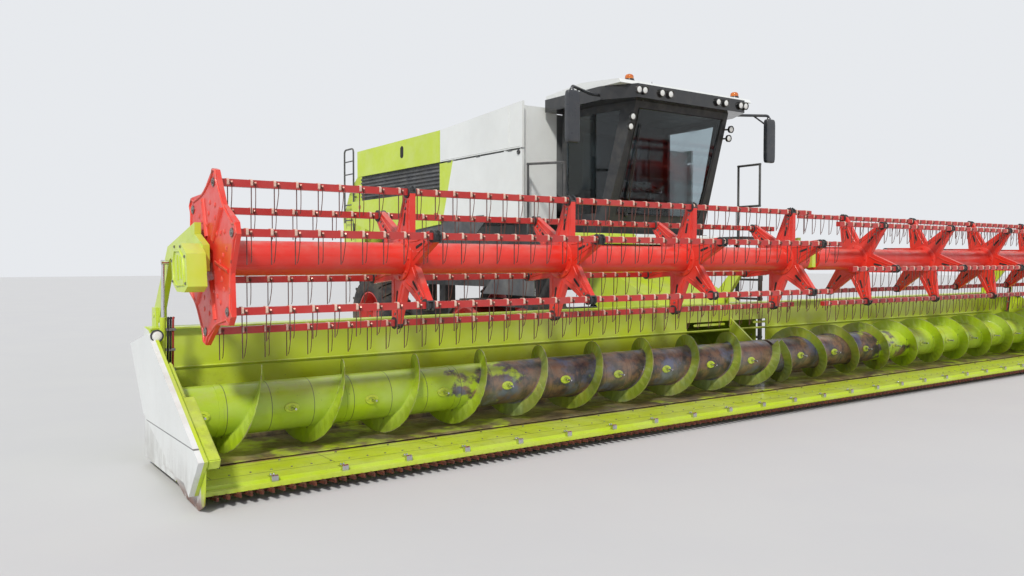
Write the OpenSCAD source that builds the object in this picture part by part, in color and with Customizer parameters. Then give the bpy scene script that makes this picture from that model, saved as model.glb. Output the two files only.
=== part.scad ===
// Tracked combine harvester with a wide grain header, reel and intake auger.
// Millimetres. +Z is up, the machine drives towards -Y, and its own right side is at -X.
// Lengths called "back" are measured rearwards from the line of the knife's finger tips.

/* [Overall] */
// Rear end of the rear hood, behind the finger tips
rear_end = 10350; // [10200:10:10500]
// From the finger tips forward to the shield noses
nose_lead = 170; // [100:10:300]

/* [Header] */
// Width over the end shields
header_w = 13900; // [12000:100:14500]
// Back wall's front face, behind the finger tips
wall_back = 1500; // [1400:10:1700]
// Height of the back wall's top edge
wall_top = 1120; // [1000:10:1250]
// Thickness of the header's sheet metal
sheet = 12; // [6:1:16]
// Height of the floor that the auger sweeps
floor_z = 155; // [140:5:165]
// Reach of the sliding table's plates behind the finger tips
table_rear = 1300; // [1250:10:1350]
// Front edge of the fixed floor, behind the finger tips
floor_front = 660; // [600:10:680]
// Spacing of the knife fingers
finger_pitch = 76.2; // [60:0.1:100]
// Length of one knife finger
finger_l = 95; // [60:5:120]

/* [Intake auger] */
// Auger shaft behind the finger tips
auger_back = 950; // [940:5:1000]
// Height of the auger shaft
auger_z = 500; // [500:5:540]
// Diameter over the flights
auger_d = 660; // [560:10:660]
// Diameter of the auger tube
auger_tube_d = 400; // [300:10:440]
// Advance of a flight in one turn
flight_pitch = 690; // [500:10:800]

/* [Reel] */
// Reel shaft behind the finger tips
reel_back = 360; // [340:5:420]
// Height of the reel shaft
reel_z = 1670; // [1620:10:1700]
// Radius on which the tine bars sit
bar_r = 530; // [450:10:540]
// Size of a tine bar
bar_t = 52; // [40:1:60]
// Number of tine bars
bar_count = 6; // [5:1:8]
// Diameter of the reel tube
reel_tube_d = 250; // [180:5:280]
// Length of a tine
tine_l = 235; // [180:5:240]
// Spacing of the tines
tine_pitch = 165; // [140:1:200]
// Turn of the right reel half forward of upright
reel_phase = 12; // [0:1:20]

/* [Running gear] */
// Middle of the track behind the finger tips
track_back = 4250; // [4200:10:4300]
// Distance between the two big wheels of a track
track_base = 1500; // [1400:10:1600]
// Height of the track over its lugs
track_h = 1100; // [1000:10:1120]
// Width of the rubber track
track_w = 640; // [500:10:680]
// Middle of the track from the machine's centre line
track_x = 1430; // [1400:10:1500]
// Rear axle behind the finger tips
rear_back = 8300; // [8200:10:8400]
// Diameter of a rear tyre over its lugs
tyre_d = 1400; // [1200:10:1420]
// Width of a rear tyre
tyre_w = 560; // [450:10:600]
// Middle of a rear tyre from the centre line
tyre_x = 1400; // [1360:10:1450]

/* [Body] */
// Width over the side panels
body_w = 3300; // [3200:10:3400]
// Front edge of the side panels behind the finger tips
panel_front = 3620; // [3600:10:3660]
// Joint between the tank panel and the engine panel
panel_split = 5780; // [5700:10:5850]
// Rear end of the engine panel
panel_rear = 8730; // [8600:10:8800]
// Height of the tank panel's front corner
panel_top = 3800; // [3750:10:3850]
// Height of the seam between upper and lower panels
seam_z = 3180; // [3150:10:3200]
// Thickness of the panels
panel_t = 35; // [25:5:45]

/* [Cab] */
// Height of the cab floor's underside
cab_floor = 2020; // [2000:10:2060]
// Height of the cab's glazed part
cab_top = 3680; // [3650:10:3700]
// Width of the cab at its front edge
cab_front_w = 1700; // [1600:10:1800]
// Width of the cab at its rear wall
cab_rear_w = 1960; // [1900:10:2000]
// Thickness of the cab wall
cab_wall = 45; // [35:5:60]

/* [Unloading tube] */
// Diameter of the tube
unload_d = 400; // [350:10:420]
// Length of the swinging tube behind its elbow
unload_l = 5650; // [5000:50:5700]

/* [Hidden] */

$fn = 48;
// The reel's end stars reach furthest forward, so they and the rear hood centre the machine.
star_r = bar_r + 90;
star_w = 80;
left_phase = reel_phase - 30;
star_lead = max([for (p = [reel_phase, left_phase], i = [0:bar_count - 1], s = [-1, 1])
    let (a = p + i * 360 / bar_count) star_r * sin(a) + s * star_w / 2 * cos(a)]) - reel_back;
y_tip = (star_lead - rear_end) / 2;
lime = "#bfd628";
white = "#e4e6e3";
red = "#e03c2c";
dark = "#3a3c3f";
grey = "#6a6c70";
steel = "#9a9da0";

// Gaps between pieces: a face to face fit, a running gap and a gap between panels.
fit = 0.3;
ear_t = 20;
run = 8;
gap = 25;

// Header planes from the reel outwards, measured from the centre line.
half_w = header_w / 2;
shield_t = 62;
shield_x = half_w - shield_t;
slide_sheet_t = 8;
slide_sheet_x = shield_x - slide_sheet_t - fit;
side_sheet_x = slide_sheet_x - run - sheet;
ram_d = 46;
ram_x = side_sheet_x - run - ram_d / 2;
arm_t = 45;
arm_x = ram_x - ram_d / 2 - 16 - arm_t;
reel_end_x = arm_x - 30;
reel_mid_x = 90;
mid_arm_t = 60;
auger_end_x = side_sheet_x - 15;
auger_mid_x = 30;
hanger_t = 30;

// Place of the joints, which the record repeats.
lift_back = 3900;
lift_z = 1700;
reel_arm_back = 1580;
reel_arm_z = 1215;
king_x = 1050;
rear_z = tyre_d / 2;
unload_back = 4300;
unload_x = 1420;
unload_z = 3600;

function y(back) = y_tip + back;
function side(points) = [for (p = points) [y(p[0]), p[1]]];

// A side outline of [y, z] points swept along X.
module across(x, w) translate([x, 0, 0]) rotate([90, 0, 90]) linear_extrude(w) children();
// A front outline of [x, z] points swept along Y.
module along(y0, l) translate([0, y0 + l, 0]) rotate([90, 0, 0]) linear_extrude(l) children();
// A box from its low and high limits, with Y given as a length back.
module block(x, back, z)
    translate([x[0], y(back[0]), z[0]]) cube([x[1] - x[0], back[1] - back[0], z[1] - z[0]]);
module pair() {
    children();
    mirror([1, 0, 0]) children();
}
module shaft(x0, x1, back, z, d) translate([x0, y(back), z]) rotate([0, 90, 0]) cylinder(d = d, h = x1 - x0);
// Two plates beside a pin of width w at the point p, reaching back to two points of their carrier.
module ears(x, p, w, a, b) for (s = [-1, 1])
    across(x + s * (w / 2 + fit + ear_t / 2) - ear_t / 2, ear_t)
        polygon(side([a, [p[0] - 60, p[1] - 60], [p[0] - 60, p[1] + 60], b]));
// A straight bar of round or many-sided section between two points.
module bar(a, b, d, sides = 8) {
    v = b - a;
    l = norm(v);
    translate(a) rotate([0, acos(v[2] / l), atan2(v[1], v[0])]) cylinder(d = d, h = l, $fn = sides);
}
// A bent rail through points, each joint lapped by most of its radius.
module rail(points, d) {
    last = len(points) - 1;
    for (i = [0:last - 1]) {
        a = points[i];
        b = points[i + 1];
        u = (b - a) / norm(b - a);
        bar(a - (i > 0 ? 0.4 * d : 0) * u, b + (i < last - 1 ? 0.4 * d : 0) * u, d);
    }
}

// Running gear
beam_x = 760;
beam_z = 1240;
feeder_w = 1520;
post_x = feeder_w / 2 + 20;
hitch_back = 8980;
hitch_z = 880;
hitch_d = 40;
skirt_z = cab_floor - 60;
module main_frame() color(dark) {
    for (s = [-1, 1]) {
        block([s * beam_x - 60, s * beam_x + 60], [3700, 8900], [beam_z, beam_z + 200]);
        // Post that carries the feeder house's pivot.
        block([s * (post_x + 20) - 20, s * (post_x + 20) + 20], [3820, 3980], [beam_z + 200, 2100]);
        // Bearer under the cab.
        block([s * (post_x + 40) - 40, s * (post_x + 40) + 40], [2750, 3980], [skirt_z - 100, skirt_z - fit]);
    }
    for (back = [3720, 5600, 6900, 8800])
        block([-beam_x + 60, beam_x - 60], [back, back + 100], [beam_z + 20, beam_z + 180]);
    // Trailer hitch with its vertical pin hole.
    difference() {
        union() {
            block([-90, 90], [8840, 8880], [hitch_z - 20, beam_z + 20]);
            for (z = [hitch_z, hitch_z + 90]) block([-70, 70], [8880, hitch_back + 70], [z, z + 30]);
        }
        translate([0, y(hitch_back), hitch_z - 1]) cylinder(d = hitch_d, h = 122);
    }
}

axle_z = 830;
module front_axle() color(dark) {
    block([-1060, 1060], [track_back - 130, track_back + 130], [axle_z - 120, axle_z + 120]);
    pair() block([beam_x - 60, beam_x + 60], [track_back - 180, track_back + 180], [axle_z - 120, beam_z - fit]);
    pair() shaft(1060, 1085 - fit, track_back, axle_z, 420);
    // Ears for the lift cylinders' lower pins.
    for (x = [-jack_x, jack_x]) ears(x, jack_low, jack_pin_w, [track_back - 130, axle_z - 120], [track_back - 130, axle_z + 60]);
}

wheel_r = track_h / 2 - 75;
belt_root = track_h / 2 - 40;
wheel_backs = [track_back - track_base / 2, track_back + track_base / 2];
module track_frame() {
    x0 = track_x - track_w / 2;
    // Two big wheels on a shaft each, and the rollers between them.
    for (b = wheel_backs) {
        translate([x0 + 60, y(b), track_h / 2]) rotate([0, 90, 0]) difference() {
            cylinder(r = wheel_r, h = track_w - 120);
            translate([0, 0, track_w - 260]) cylinder(r = wheel_r - 70, h = 200);
            translate([0, 0, -1]) cylinder(r = wheel_r - 70, h = 60);
        }
        shaft(x0 + 60, x0 + track_w - 40, b, track_h / 2, 190);
    }
    for (b = [-300, 0, 300]) shaft(x0 + 60, x0 + track_w - 60, track_back + b, 75 + 140, 280);
    block([x0 + 20, x0 + 80], [wheel_backs[0] - 60, wheel_backs[1] + 60], [track_h / 2 - 130, track_h / 2 + 60]);
    block([x0 + 20, x0 + 80], [track_back - 420, track_back + 420], [180, track_h / 2]);
    block([x0 - 25, x0 + 20], [track_back - 260, track_back + 260], [track_h / 2 - 100, axle_z + 180]);
}
module track_frames() color(red) pair() track_frame();

// A point on the track's loop at arc length s, moved outwards by off from the wheel's rim.
loop_r = belt_root;
loop_l = 2 * track_base + 2 * PI * loop_r;
function loop_pt(s, r) =
    let (f = track_base, q = PI * loop_r, t = s - floor(s / loop_l) * loop_l, c0 = track_back - f / 2,
        c1 = track_back + f / 2, zc = track_h / 2)
    t < f ? [c0 + t, zc + r]
    : t < f + q ? let (a = 90 - (t - f) / q * 180) [c1 + r * cos(a), zc + r * sin(a)]
    : t < 2 * f + q ? [c1 - (t - f - q), zc - r]
    : let (a = -90 - (t - 2 * f - q) / q * 180) [c0 + r * cos(a), zc + r * sin(a)];
lug_count = 36;
module track_belt_strip(x, w, shift) {
    step = loop_l / lug_count;
    outer = [for (i = [0:lug_count - 1], p = [[0.08, 0], [0.2, 1], [0.5, 1], [0.62, 0]])
        loop_pt((i + p[0] + shift) * step, belt_root + p[1] * (track_h / 2 - belt_root))];
    across(x, w) difference() {
        polygon(side(outer));
        for (b = wheel_backs) translate([y(b), track_h / 2]) circle(r = wheel_r + fit);
        translate([y(wheel_backs[0]), track_h / 2 - wheel_r - fit]) square([track_base, 2 * wheel_r + 2 * fit]);
    }
}
module track_belts() color(dark) pair() {
    track_belt_strip(track_x - track_w / 2, track_w / 2, 0);
    track_belt_strip(track_x, track_w / 2, 0.5);
}

module rear_axle() color(dark) {
    block([-880, 880], [rear_back - 90, rear_back + 90], [rear_z - 90, rear_z + 110]);
    block([-110, 110], [rear_back - 110, rear_back + 110], [rear_z + 110, 1250]);
    block([-beam_x + 60 + fit, beam_x - 60 - fit], [rear_back - 110, rear_back + 110], [beam_z, beam_z + 140]);
    // Fork ends that hold the kingpins.
    pair() {
        block([880, king_x + 60], [rear_back - 80, rear_back + 80], [rear_z + 80, rear_z + 110]);
        block([880, king_x + 60], [rear_back - 80, rear_back + 80], [rear_z - 110, rear_z - 80]);
        block([880, 900], [rear_back - 80, rear_back + 80], [rear_z - 110, rear_z + 110]);
    }
}
module knuckle() color(dark) {
    translate([king_x, y(rear_back), rear_z - 80 + fit]) cylinder(d = 120, h = 160 - 2 * fit);
    shaft(king_x, tyre_x - 60, rear_back, rear_z, 110);
    block([king_x - 30, king_x + 30], [rear_back, rear_back + 260], [rear_z - 60, rear_z - 20]);
}
module knuckle_right() mirror([1, 0, 0]) knuckle();
module knuckle_left() knuckle();
module tie_rod() color(steel) {
    rod_z = rear_z - 60 - fit - 30;
    pair() translate([king_x, y(rear_back + 230), rod_z]) cylinder(d = 76, h = 30);
    shaft(-king_x + 30, king_x - 30, rear_back + 230, rod_z + 15, 24);
}
rim_r = 400;
module rear_rim() color(red) translate([tyre_x, y(rear_back), rear_z]) rotate([0, 90, 0]) {
    difference() {
        translate([0, 0, -tyre_w / 2 + 40]) cylinder(r = rim_r, h = tyre_w - 80);
        translate([0, 0, -40]) cylinder(r = rim_r - 20, h = tyre_w);
        translate([0, 0, -tyre_w / 2]) cylinder(r = rim_r - 20, h = tyre_w / 2 - 60);
    }
    translate([0, 0, -60 + fit]) cylinder(r = 150, h = 150);
}
module rear_rim_right() mirror([1, 0, 0]) rear_rim();
module rear_rim_left() rear_rim();
module rear_tyre() color("#26272a") translate([tyre_x, y(rear_back), rear_z]) rotate([0, 90, 0])
    rotate_extrude() polygon([
        [rim_r + fit, -tyre_w / 2 + 60], [rim_r + 40, -tyre_w / 2 + 20], [rear_z - 140, -tyre_w / 2],
        [rear_z - 40, -tyre_w / 2 + 30], [rear_z, -tyre_w / 2 + 90], [rear_z, tyre_w / 2 - 90],
        [rear_z - 40, tyre_w / 2 - 30], [rear_z - 140, tyre_w / 2], [rim_r + 40, tyre_w / 2 - 20],
        [rim_r + fit, tyre_w / 2 - 60]]);
module rear_tyre_right() mirror([1, 0, 0]) rear_tyre();
module rear_tyre_left() rear_tyre();

// Body
module threshing_housing() color(grey)
    across(-850, 1700) polygon(side([[4030, 1600], [4180, beam_z + 200 + fit], [8900, beam_z + 200 + fit],
        [9350, 1750], [9350, 2600], [5960, 2600], [5760, 2290 - fit], [4030, 2290 - fit]]));
// Cross members and posts that carry the hood and the side grilles.
body_backs = [5990, 8600];
grille_x = body_w / 2 - panel_t - 60;
module body_frame() color(dark) for (b = body_backs) {
    block([-grille_x + fit, grille_x - fit], [b, b + 80], [2600 + fit, 2680]);
    block([-1480, -1400], [b, b + 80], [2680, hood_z - fit]);
    block([1400, 1480], [b, b + 80], [2680, hood_low_z - fit]);
}
module engine_block() color(dark) block([-600, 600], [6300, 7500], [2600 + fit, 3320]);

tank_x = [-body_w / 2 + panel_t + 12 + fit, 1180];
tank_back = [3730, 5740];
tank_floor = [2980, 2290];
tank_top = 3660;
module tank_section(inset) polygon([
    [tank_x[0] + inset, tank_top + (inset > 0 ? 10 : 0)], [tank_x[0] + inset, tank_floor[0] + inset * 0.4],
    [-500, tank_floor[1] + inset], [500, tank_floor[1] + inset], [tank_x[1] - inset, tank_floor[0] + inset * 0.4],
    [tank_x[1] - inset, tank_top + (inset > 0 ? 10 : 0)]]);
module grain_tank() color(grey) {
    difference() {
        along(y(tank_back[0]), tank_back[1] - tank_back[0]) tank_section(0);
        along(y(tank_back[0] + sheet), tank_back[1] - tank_back[0] - 2 * sheet) tank_section(sheet);
    }
    // Rims under the lids' hinges, with the pins on their lugs.
    for (x = [tank_x[0], tank_x[1] - 100]) block([x, x + 100], tank_back, [tank_top - sheet, tank_top]);
    for (x = lid_pin_xs, b = lid_pins) {
        block([x - 14, x + 14], [b, b + 30], [tank_top - 5, lid_pin_z]);
        translate([x, y(b), lid_pin_z]) rotate([-90, 0, 0]) cylinder(d = 28, h = 30);
        translate([x, y(b), lid_pin_z]) rotate([-90, 0, 0]) cylinder(d = lid_pin_d, h = 95);
    }
    // Upright tube of the unloading auger and the trough that feeds it.
    translate([unload_x, y(unload_back), tank_floor[1]]) cylinder(d = unload_d - 20, h = 3400 - fit - tank_floor[1]);
    block([490, unload_x], [unload_back - 120, unload_back + 120], [tank_floor[1], tank_floor[1] + 190]);
}
// The panel's own outer outline, with its top edge falling to the rear.
panel_kink = 3670;
panel_end = 3640;
module side_panel(outline, flip = false)
    across(flip ? body_w / 2 - panel_t : -body_w / 2, panel_t) polygon(side(outline));
left_top = 3370;
// Pins of the side doors, in the seam above them.
door_pins = [4000, 4700, 5400];
door_pin_z = seam_z - 14;
door_pin_d = 10;
module tank_sides() color(white) {
    side_panel([[panel_front, seam_z], [panel_front, panel_top], [panel_split - 4, panel_kink],
        [panel_split - 4, seam_z]]);
    side_panel([[panel_front, seam_z], [panel_front, left_top], [panel_split - 4, left_top],
        [panel_split - 4, seam_z]], true);
    // Front closing wall beside the cab.
    wall_backs = [tank_back[0] - 30 - fit, tank_back[0] - fit];
    block([-body_w / 2 + panel_t + fit, -1000], wall_backs, [2200, panel_top - 40]);
    block([-body_w / 2 + panel_t - 5, -body_w / 2 + panel_t + 15], wall_backs, [seam_z + 10, panel_top - 40]);
    block([1000, body_w / 2 - panel_t - fit], wall_backs, [2200, left_top - 20]);
    block([body_w / 2 - panel_t - 15, body_w / 2 - panel_t + 5], wall_backs, [seam_z + 10, left_top - 20]);
    // Brackets behind the upper panels, with the pins that the side doors hang on.
    pair() for (b = door_pins) {
        block([body_w / 2 - panel_t - 12, body_w / 2 - panel_t + 5], [b, b + 20], [seam_z + 5, seam_z + 120]);
        block([body_w / 2 - panel_t - 12, body_w / 2 - panel_t - 5], [b, b + 20], [door_pin_z - 5, seam_z + 10]);
        block([body_w / 2 - panel_t - 12, body_w / 2 - 10], [b, b + 20], [door_pin_z - 5, door_pin_z + 5]);
        translate([body_w / 2 - 10, y(b), door_pin_z]) rotate([-90, 0, 0]) cylinder(d = door_pin_d, h = 60);
    }
}
module engine_sides() color(lime) {
    side_panel([[panel_split + 4, seam_z], [panel_split + 4, panel_kink], [panel_rear, panel_end],
        [panel_rear, seam_z]]);
    side_panel([[panel_split + 4, seam_z], [panel_split + 4, left_top], [panel_rear, left_top],
        [panel_rear, seam_z]], true);
}
hood_z = 3340;
hood_low_z = 3220;
module engine_hood() color(dark) {
    block([-body_w / 2 + panel_t + fit, 1180], [panel_split, panel_rear], [hood_z, hood_z + 40]);
    block([1180, body_w / 2 - panel_t - fit], [panel_split, panel_rear], [hood_low_z, hood_low_z + 30]);
    block([1160, 1180], [panel_split, panel_rear], [hood_low_z, hood_z]);
    block([-grille_x - 20, -grille_x], [panel_split, panel_rear], [hood_low_z, hood_z]);
    block([-300, 900], [5900, 6500], [3380, 3600]);
}
module bay_grilles() color(dark) pair() {
    x = grille_x + 20;
    block([grille_x, x], [5800, 8700], [2300, hood_low_z - fit]);
    for (i = [0:5]) block([x, x + 30], [5820, 8680], [2800 + i * 62, 2830 + i * 62]);
}
door_top = seam_z - gap;
low_top = 2740;
module lower_rear_panels() color(lime) {
    for (flip = [false, true])
        side_panel([[5800, 2220], [5800, low_top], [9000, low_top], [8900, 2350], [8000, 2130], [6800, 2140]], flip);
    pair() block([grille_x + 20 + fit, body_w / 2 - panel_t + 5], [5900, 8650], [2400, 2440]);
}
module rear_hood() color(lime) difference() {
    across(-1200, 2400) polygon(side([[8740, 2600 + fit], [8740, 3600], [9300, 3540], [10000, 3060],
        [rear_end, 2500], [10300, 1900], [9800, 1750], [9370, 1900], [9370, 2600 + fit]]));
    across(-1170, 2340) polygon(side([[8700, 2640], [8700, 3560], [9290, 3505], [9980, 3035],
        [10315, 2480], [10260, 1700], [9400, 1700], [9400, 2640]]));
}
module fenders() color(dark) pair() {
    x = body_w / 2 - 20;
    across(x - 15, 15) polygon(side([[4580, 2200], [4880, 1980], [6780, 2130], [5790, 2200], [5700, 2260], [4600, 2260]]));
    block([850 + fit, x - 15], [4050, 5600], [1500, 1530]);
    block([850 + fit, x - 15], [4650, 5650], [2200, 2215]);
    across(x - 30, 20) polygon(side([[3400, 1180], [3400, 1520], [4260, 1520], [4640, 1180]]));
}

// Cab
cab_front = 2790;
cab_lean = 540;
cab_rear = 3600;
module cab_solid(inset) intersection() {
    across(-1100, 2200) polygon(side([[cab_front + inset, cab_floor + inset],
        [cab_front - cab_lean + inset, cab_top - inset], [cab_rear - inset, cab_top - inset],
        [cab_rear - inset, cab_floor + inset]]));
    translate([0, 0, cab_floor - 100]) linear_extrude(cab_top - cab_floor + 200) polygon([
        [-cab_front_w / 2 + inset, y(2150)], [cab_front_w / 2 - inset, y(2150)],
        [cab_rear_w / 2 - inset, y(2900)], [cab_rear_w / 2 - inset, y(cab_rear + 50)],
        [-cab_rear_w / 2 + inset, y(cab_rear + 50)], [-cab_rear_w / 2 + inset, y(2900)]]);
}
// Window prisms; grow below zero gives the pane that fits in.
module windows(grow) {
    translate([0, 0, 2930]) along(y(2100), 760)
        square([cab_front_w - 150 + 2 * grow, 1320 + 2 * grow], center = true);
    across(-1100, 2200) polygon(side([[2830 - grow, 2280 - grow], [2490 - grow, 3590 + grow],
        [3500 + grow, 3590 + grow], [3500 + grow, 2280 - grow]]));
    translate([0, 0, 3050]) along(y(cab_rear - 200), 300) square([1300 + 2 * grow, 800 + 2 * grow], center = true);
}
door_back = [2800, 3540];
module door_region(grow) across(400, 800) polygon(side([[door_back[0] - grow, 2150 - grow],
    [2420 - grow, 3620 + grow], [door_back[1] + grow, 3620 + grow], [door_back[1] + grow, 2150 - grow]]));
hinge_at = [cab_rear_w / 2 + 18, 3545];
hinge_zs = [2400, 3200];
module cab_shell() color(dark) {
    difference() {
        cab_solid(0);
        cab_solid(cab_wall);
        windows(0);
        door_region(0);
    }
    // Lugs that the door's hinge barrels stand on.
    for (z = hinge_zs) {
        translate([hinge_at[0], y(hinge_at[1]), z - 40]) cylinder(d = 30, h = 40 - fit);
        block([cab_rear_w / 2 - 3, hinge_at[0] + 10], [hinge_at[1] + 2, hinge_at[1] + 50], [z - 40, z - fit]);
    }
}
module cab_glass() color("#8fa6ad", 0.4) difference() {
    intersection() {
        difference() {
            cab_solid(15);
            cab_solid(22);
        }
        windows(-fit);
    }
    door_region(10);
}
module cab_door() color(dark) {
    intersection() {
        difference() {
            cab_solid(0);
            cab_solid(cab_wall);
            across(400, 800) polygon(side([[2870, 2230], [2520, 3540], [3460, 3540], [3460, 2230]]));
        }
        door_region(-5);
    }
    for (z = hinge_zs) {
        translate([hinge_at[0], y(hinge_at[1]), z]) cylinder(d = 30, h = 80);
        block([cab_rear_w / 2 - 3, hinge_at[0] + 10], [hinge_at[1] - 45, hinge_at[1] - 12], [z, z + 80]);
    }
}
module cab_roof() color(white)
    across(-1230, 2460) polygon(side([[2150, 3850 + fit], [2180, 3900], [2900, 3960], [3640, 3900], [3640, 3850 + fit]]));
module roof_fascia() color("#202124")
    translate([0, 0, cab_top + fit]) linear_extrude(3850 - cab_top) polygon([
        [-1000, y(2080)], [1000, y(2080)], [1250, y(2500)], [1250, y(3640)], [-1250, y(3640)], [-1250, y(2500)]]);
module operator_seat() color(dark) {
    block([-260, 260], [3000, 3480], [2500, 2620]);
    block([-250, 250], [3400, 3500], [2620, 3200]);
    block([-160, 160], [3080, 3400], [cab_floor + cab_wall + fit, 2500]);
}
module control_console() color(dark) {
    block([-520, -330], [2950, 3450], [2500, 2640]);
    block([-480, -380], [3100, 3350], [cab_floor + cab_wall + fit, 2500]);
    block([-70, 70], [2850, 2960], [cab_floor + cab_wall + fit, 2110]);
    bar([0, y(2895), 2100], [0, y(2930), 2640], 80);
}
module cab_skirt() color(grey) {
    block([-980, 980], [2720, 3600], [skirt_z, cab_floor - fit]);
}
module platforms() {
    color(grey) {
        block([980 + fit, 1700], [2750, 3600], [skirt_z, 2000]);
        block([1300, 1700], [2330, 2750], [skirt_z, 2000]);
        block([-1640, -980 - fit], [2750, 3600], [skirt_z, 2000]);
        // Bracket and pin of the ladder.
        block([1690, ladder_x + 30], [2830, 2890], [skirt_z, 2000]);
        translate([ladder_x, y(ladder_back), ladder_top - 20 + fit]) cylinder(d = 40, h = skirt_z - ladder_top + 30);
    }
    color(dark) {
        rail([[-1600, y(2780), 2000], [-1600, y(2780), 2900], [-1600, y(3560), 2950], [-1600, y(3560), 2000]], 34);
        rail([[1680, y(2740), 2000], [1680, y(2740), 3050], [1680, y(2350), 3050], [1680, y(2350), 2450],
            [1680, y(2740), 2450]], 34);
    }
}
module mirrors() color("#202124") pair() {
    rail([[1250 + fit, y(2560), 3750], [1350, y(2560), 3750], [1850, y(2330), 3760], [1850, y(2330), 3690]], 40);
    block([1760, 1940], [2300, 2360], [3080, 3700]);
}
module work_lights() color(white) for (x = [-1000, -900, -600, -450, 450, 600, 900, 1000])
    translate([x, y(2080 - fit), 3770]) rotate([90, 0, 0]) cylinder(d = 90, h = 20);
module beacons() color("#f08a10") pair() translate([990, y(2250), 3911]) cylinder(d = 110, h = 60);

module straw_chopper() color(grey) {
    across(-750, 1500) polygon(side([[9350 + fit, 1500], [9350 + fit, 1890], [9800, 1740], [10250, 1500],
        [10250, 1350], [9600, 1250]]));
}

// Feeder house and header
beam_t = 160;
feeder_front = wall_back + beam_t + fit;
// Cylinders that lift the feeder house, from their pins on the axle to those under the house.
jack_low = [3990, 640];
jack_high = [2480, 440];
jack_x = 480;
jack_pin_w = 140;
jack_rod_d = 56;
function jack_pt(x, t) = let (p = jack_low + t * (jack_high - jack_low)) [x, y(p[0]), p[1]];
module lift_barrels() color(dark) for (x = [-jack_x, jack_x]) {
    difference() {
        bar(jack_pt(x, 0), jack_pt(x, 0.6), 100, 32);
        bar(jack_pt(x, 0.1), jack_pt(x, 0.61), jack_rod_d + 2 * fit, 32);
    }
    shaft(x - jack_pin_w / 2, x + jack_pin_w / 2, jack_low[0], jack_low[1], 60);
}
module lift_rods() color(steel) for (x = [-jack_x, jack_x]) {
    bar(jack_pt(x, 0.15), jack_pt(x, 1), jack_rod_d, 32);
    shaft(x - jack_pin_w / 2, x + jack_pin_w / 2, jack_high[0], jack_high[1], 60);
}
module feeder_house() color(lime) {
    difference() {
        across(-feeder_w / 2, feeder_w) polygon(side([[feeder_front, 240], [feeder_front, 980], [3760, 1930],
            [3960, 1850], [3960, 1640], [3300, 1180], [2100, 250]]));
        across(-feeder_w / 2 + 20, feeder_w - 40) polygon(side([[1600, 270], [1600, 940], [3750, 1900], [4100, 1830],
            [4100, 1660], [3290, 1210], [2090, 280]]));
    }
    // Pivot shaft that hangs the house between the posts.
    shaft(-post_x + fit, post_x - fit, lift_back, lift_z, 120);
    for (x = [-jack_x, jack_x]) ears(x, jack_high, jack_pin_w, [jack_high[0] + 130, 650], [jack_high[0] - 50, 535]);
}
module header_frame() color(lime) {
    difference() {
        union() {
            across(-frame_w, 2 * frame_w) polygon(side([[wall_back - 60, floor_z], [wall_back - sheet, floor_z],
                [wall_back, floor_z], [wall_back, wall_top], [wall_back - 60, wall_top], [wall_back - 60, wall_top - sheet],
                [wall_back - sheet, wall_top - sheet], [wall_back - sheet, floor_z + 120],
                [wall_back - 60, floor_z + sheet]]));
            block([-frame_w, frame_w], [wall_back, wall_back + beam_t], [wall_top - 160, wall_top]);
            block([-frame_w, frame_w], [wall_back, wall_back + beam_t], [60, 220]);
        }
        block([-740, 740], [wall_back - 100, wall_back + 300], [270, 900]);
    }
    // Floor under the auger, and the rails below it on which the table slides.
    block([-frame_w, frame_w], [floor_front, wall_back - 60], [floor_z - 8, floor_z]);
    block([-frame_w, frame_w], [wall_back - 90, wall_back], [60, floor_z]);
    for (x = rib_xs) block([x - 40, x + 40], [540, wall_back], [60, 90 - fit]);
    for (x = [rib_xs[0], rib_xs[4], rib_xs[8], rib_xs[12], rib_xs[16]]) block([x - 60, x + 60], [700, wall_back + 100], [0, 60]);
    // Ears for the reel arms' pivots.
    for (x = [-arm_x - arm_t / 2, arm_x + arm_t / 2]) arm_ears(x, arm_t);
    arm_ears(0, mid_arm_t);
    // Hanger of the auger's middle bearing.
    across(-hanger_t / 2, hanger_t) polygon(side([[wall_back - 50, 940], [wall_back - 50, 760], [auger_back + 60, auger_z - 80],
        [auger_back - 80, auger_z - 80], [auger_back - 80, auger_z + 70], [auger_back + 60, auger_z + 110]]));
}
frame_w = side_sheet_x - fit;
rib_xs = [for (i = [0:16]) -6400 + i * 800];
arm_pin_d = 40;
module arm_ears(x, w) for (s = [-1, 1])
    across(x + s * (w / 2 + fit + ear_t / 2) - ear_t / 2, ear_t) difference() {
        polygon(side([[reel_arm_back - 70, wall_top], [reel_arm_back + 70, wall_top], [reel_arm_back + 60, reel_arm_z + 60],
            [reel_arm_back - 60, reel_arm_z + 60]]));
        translate([y(reel_arm_back), reel_arm_z]) circle(d = arm_pin_d + 2 * fit);
    }
module header_sides() color(lime) pair() {
    across(side_sheet_x, sheet) polygon(side([[700, 60], [640, 560], [1050, 900], [wall_back, 1100],
        [wall_back + beam_t, wall_top], [wall_back + beam_t, 60]]));
}

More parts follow.
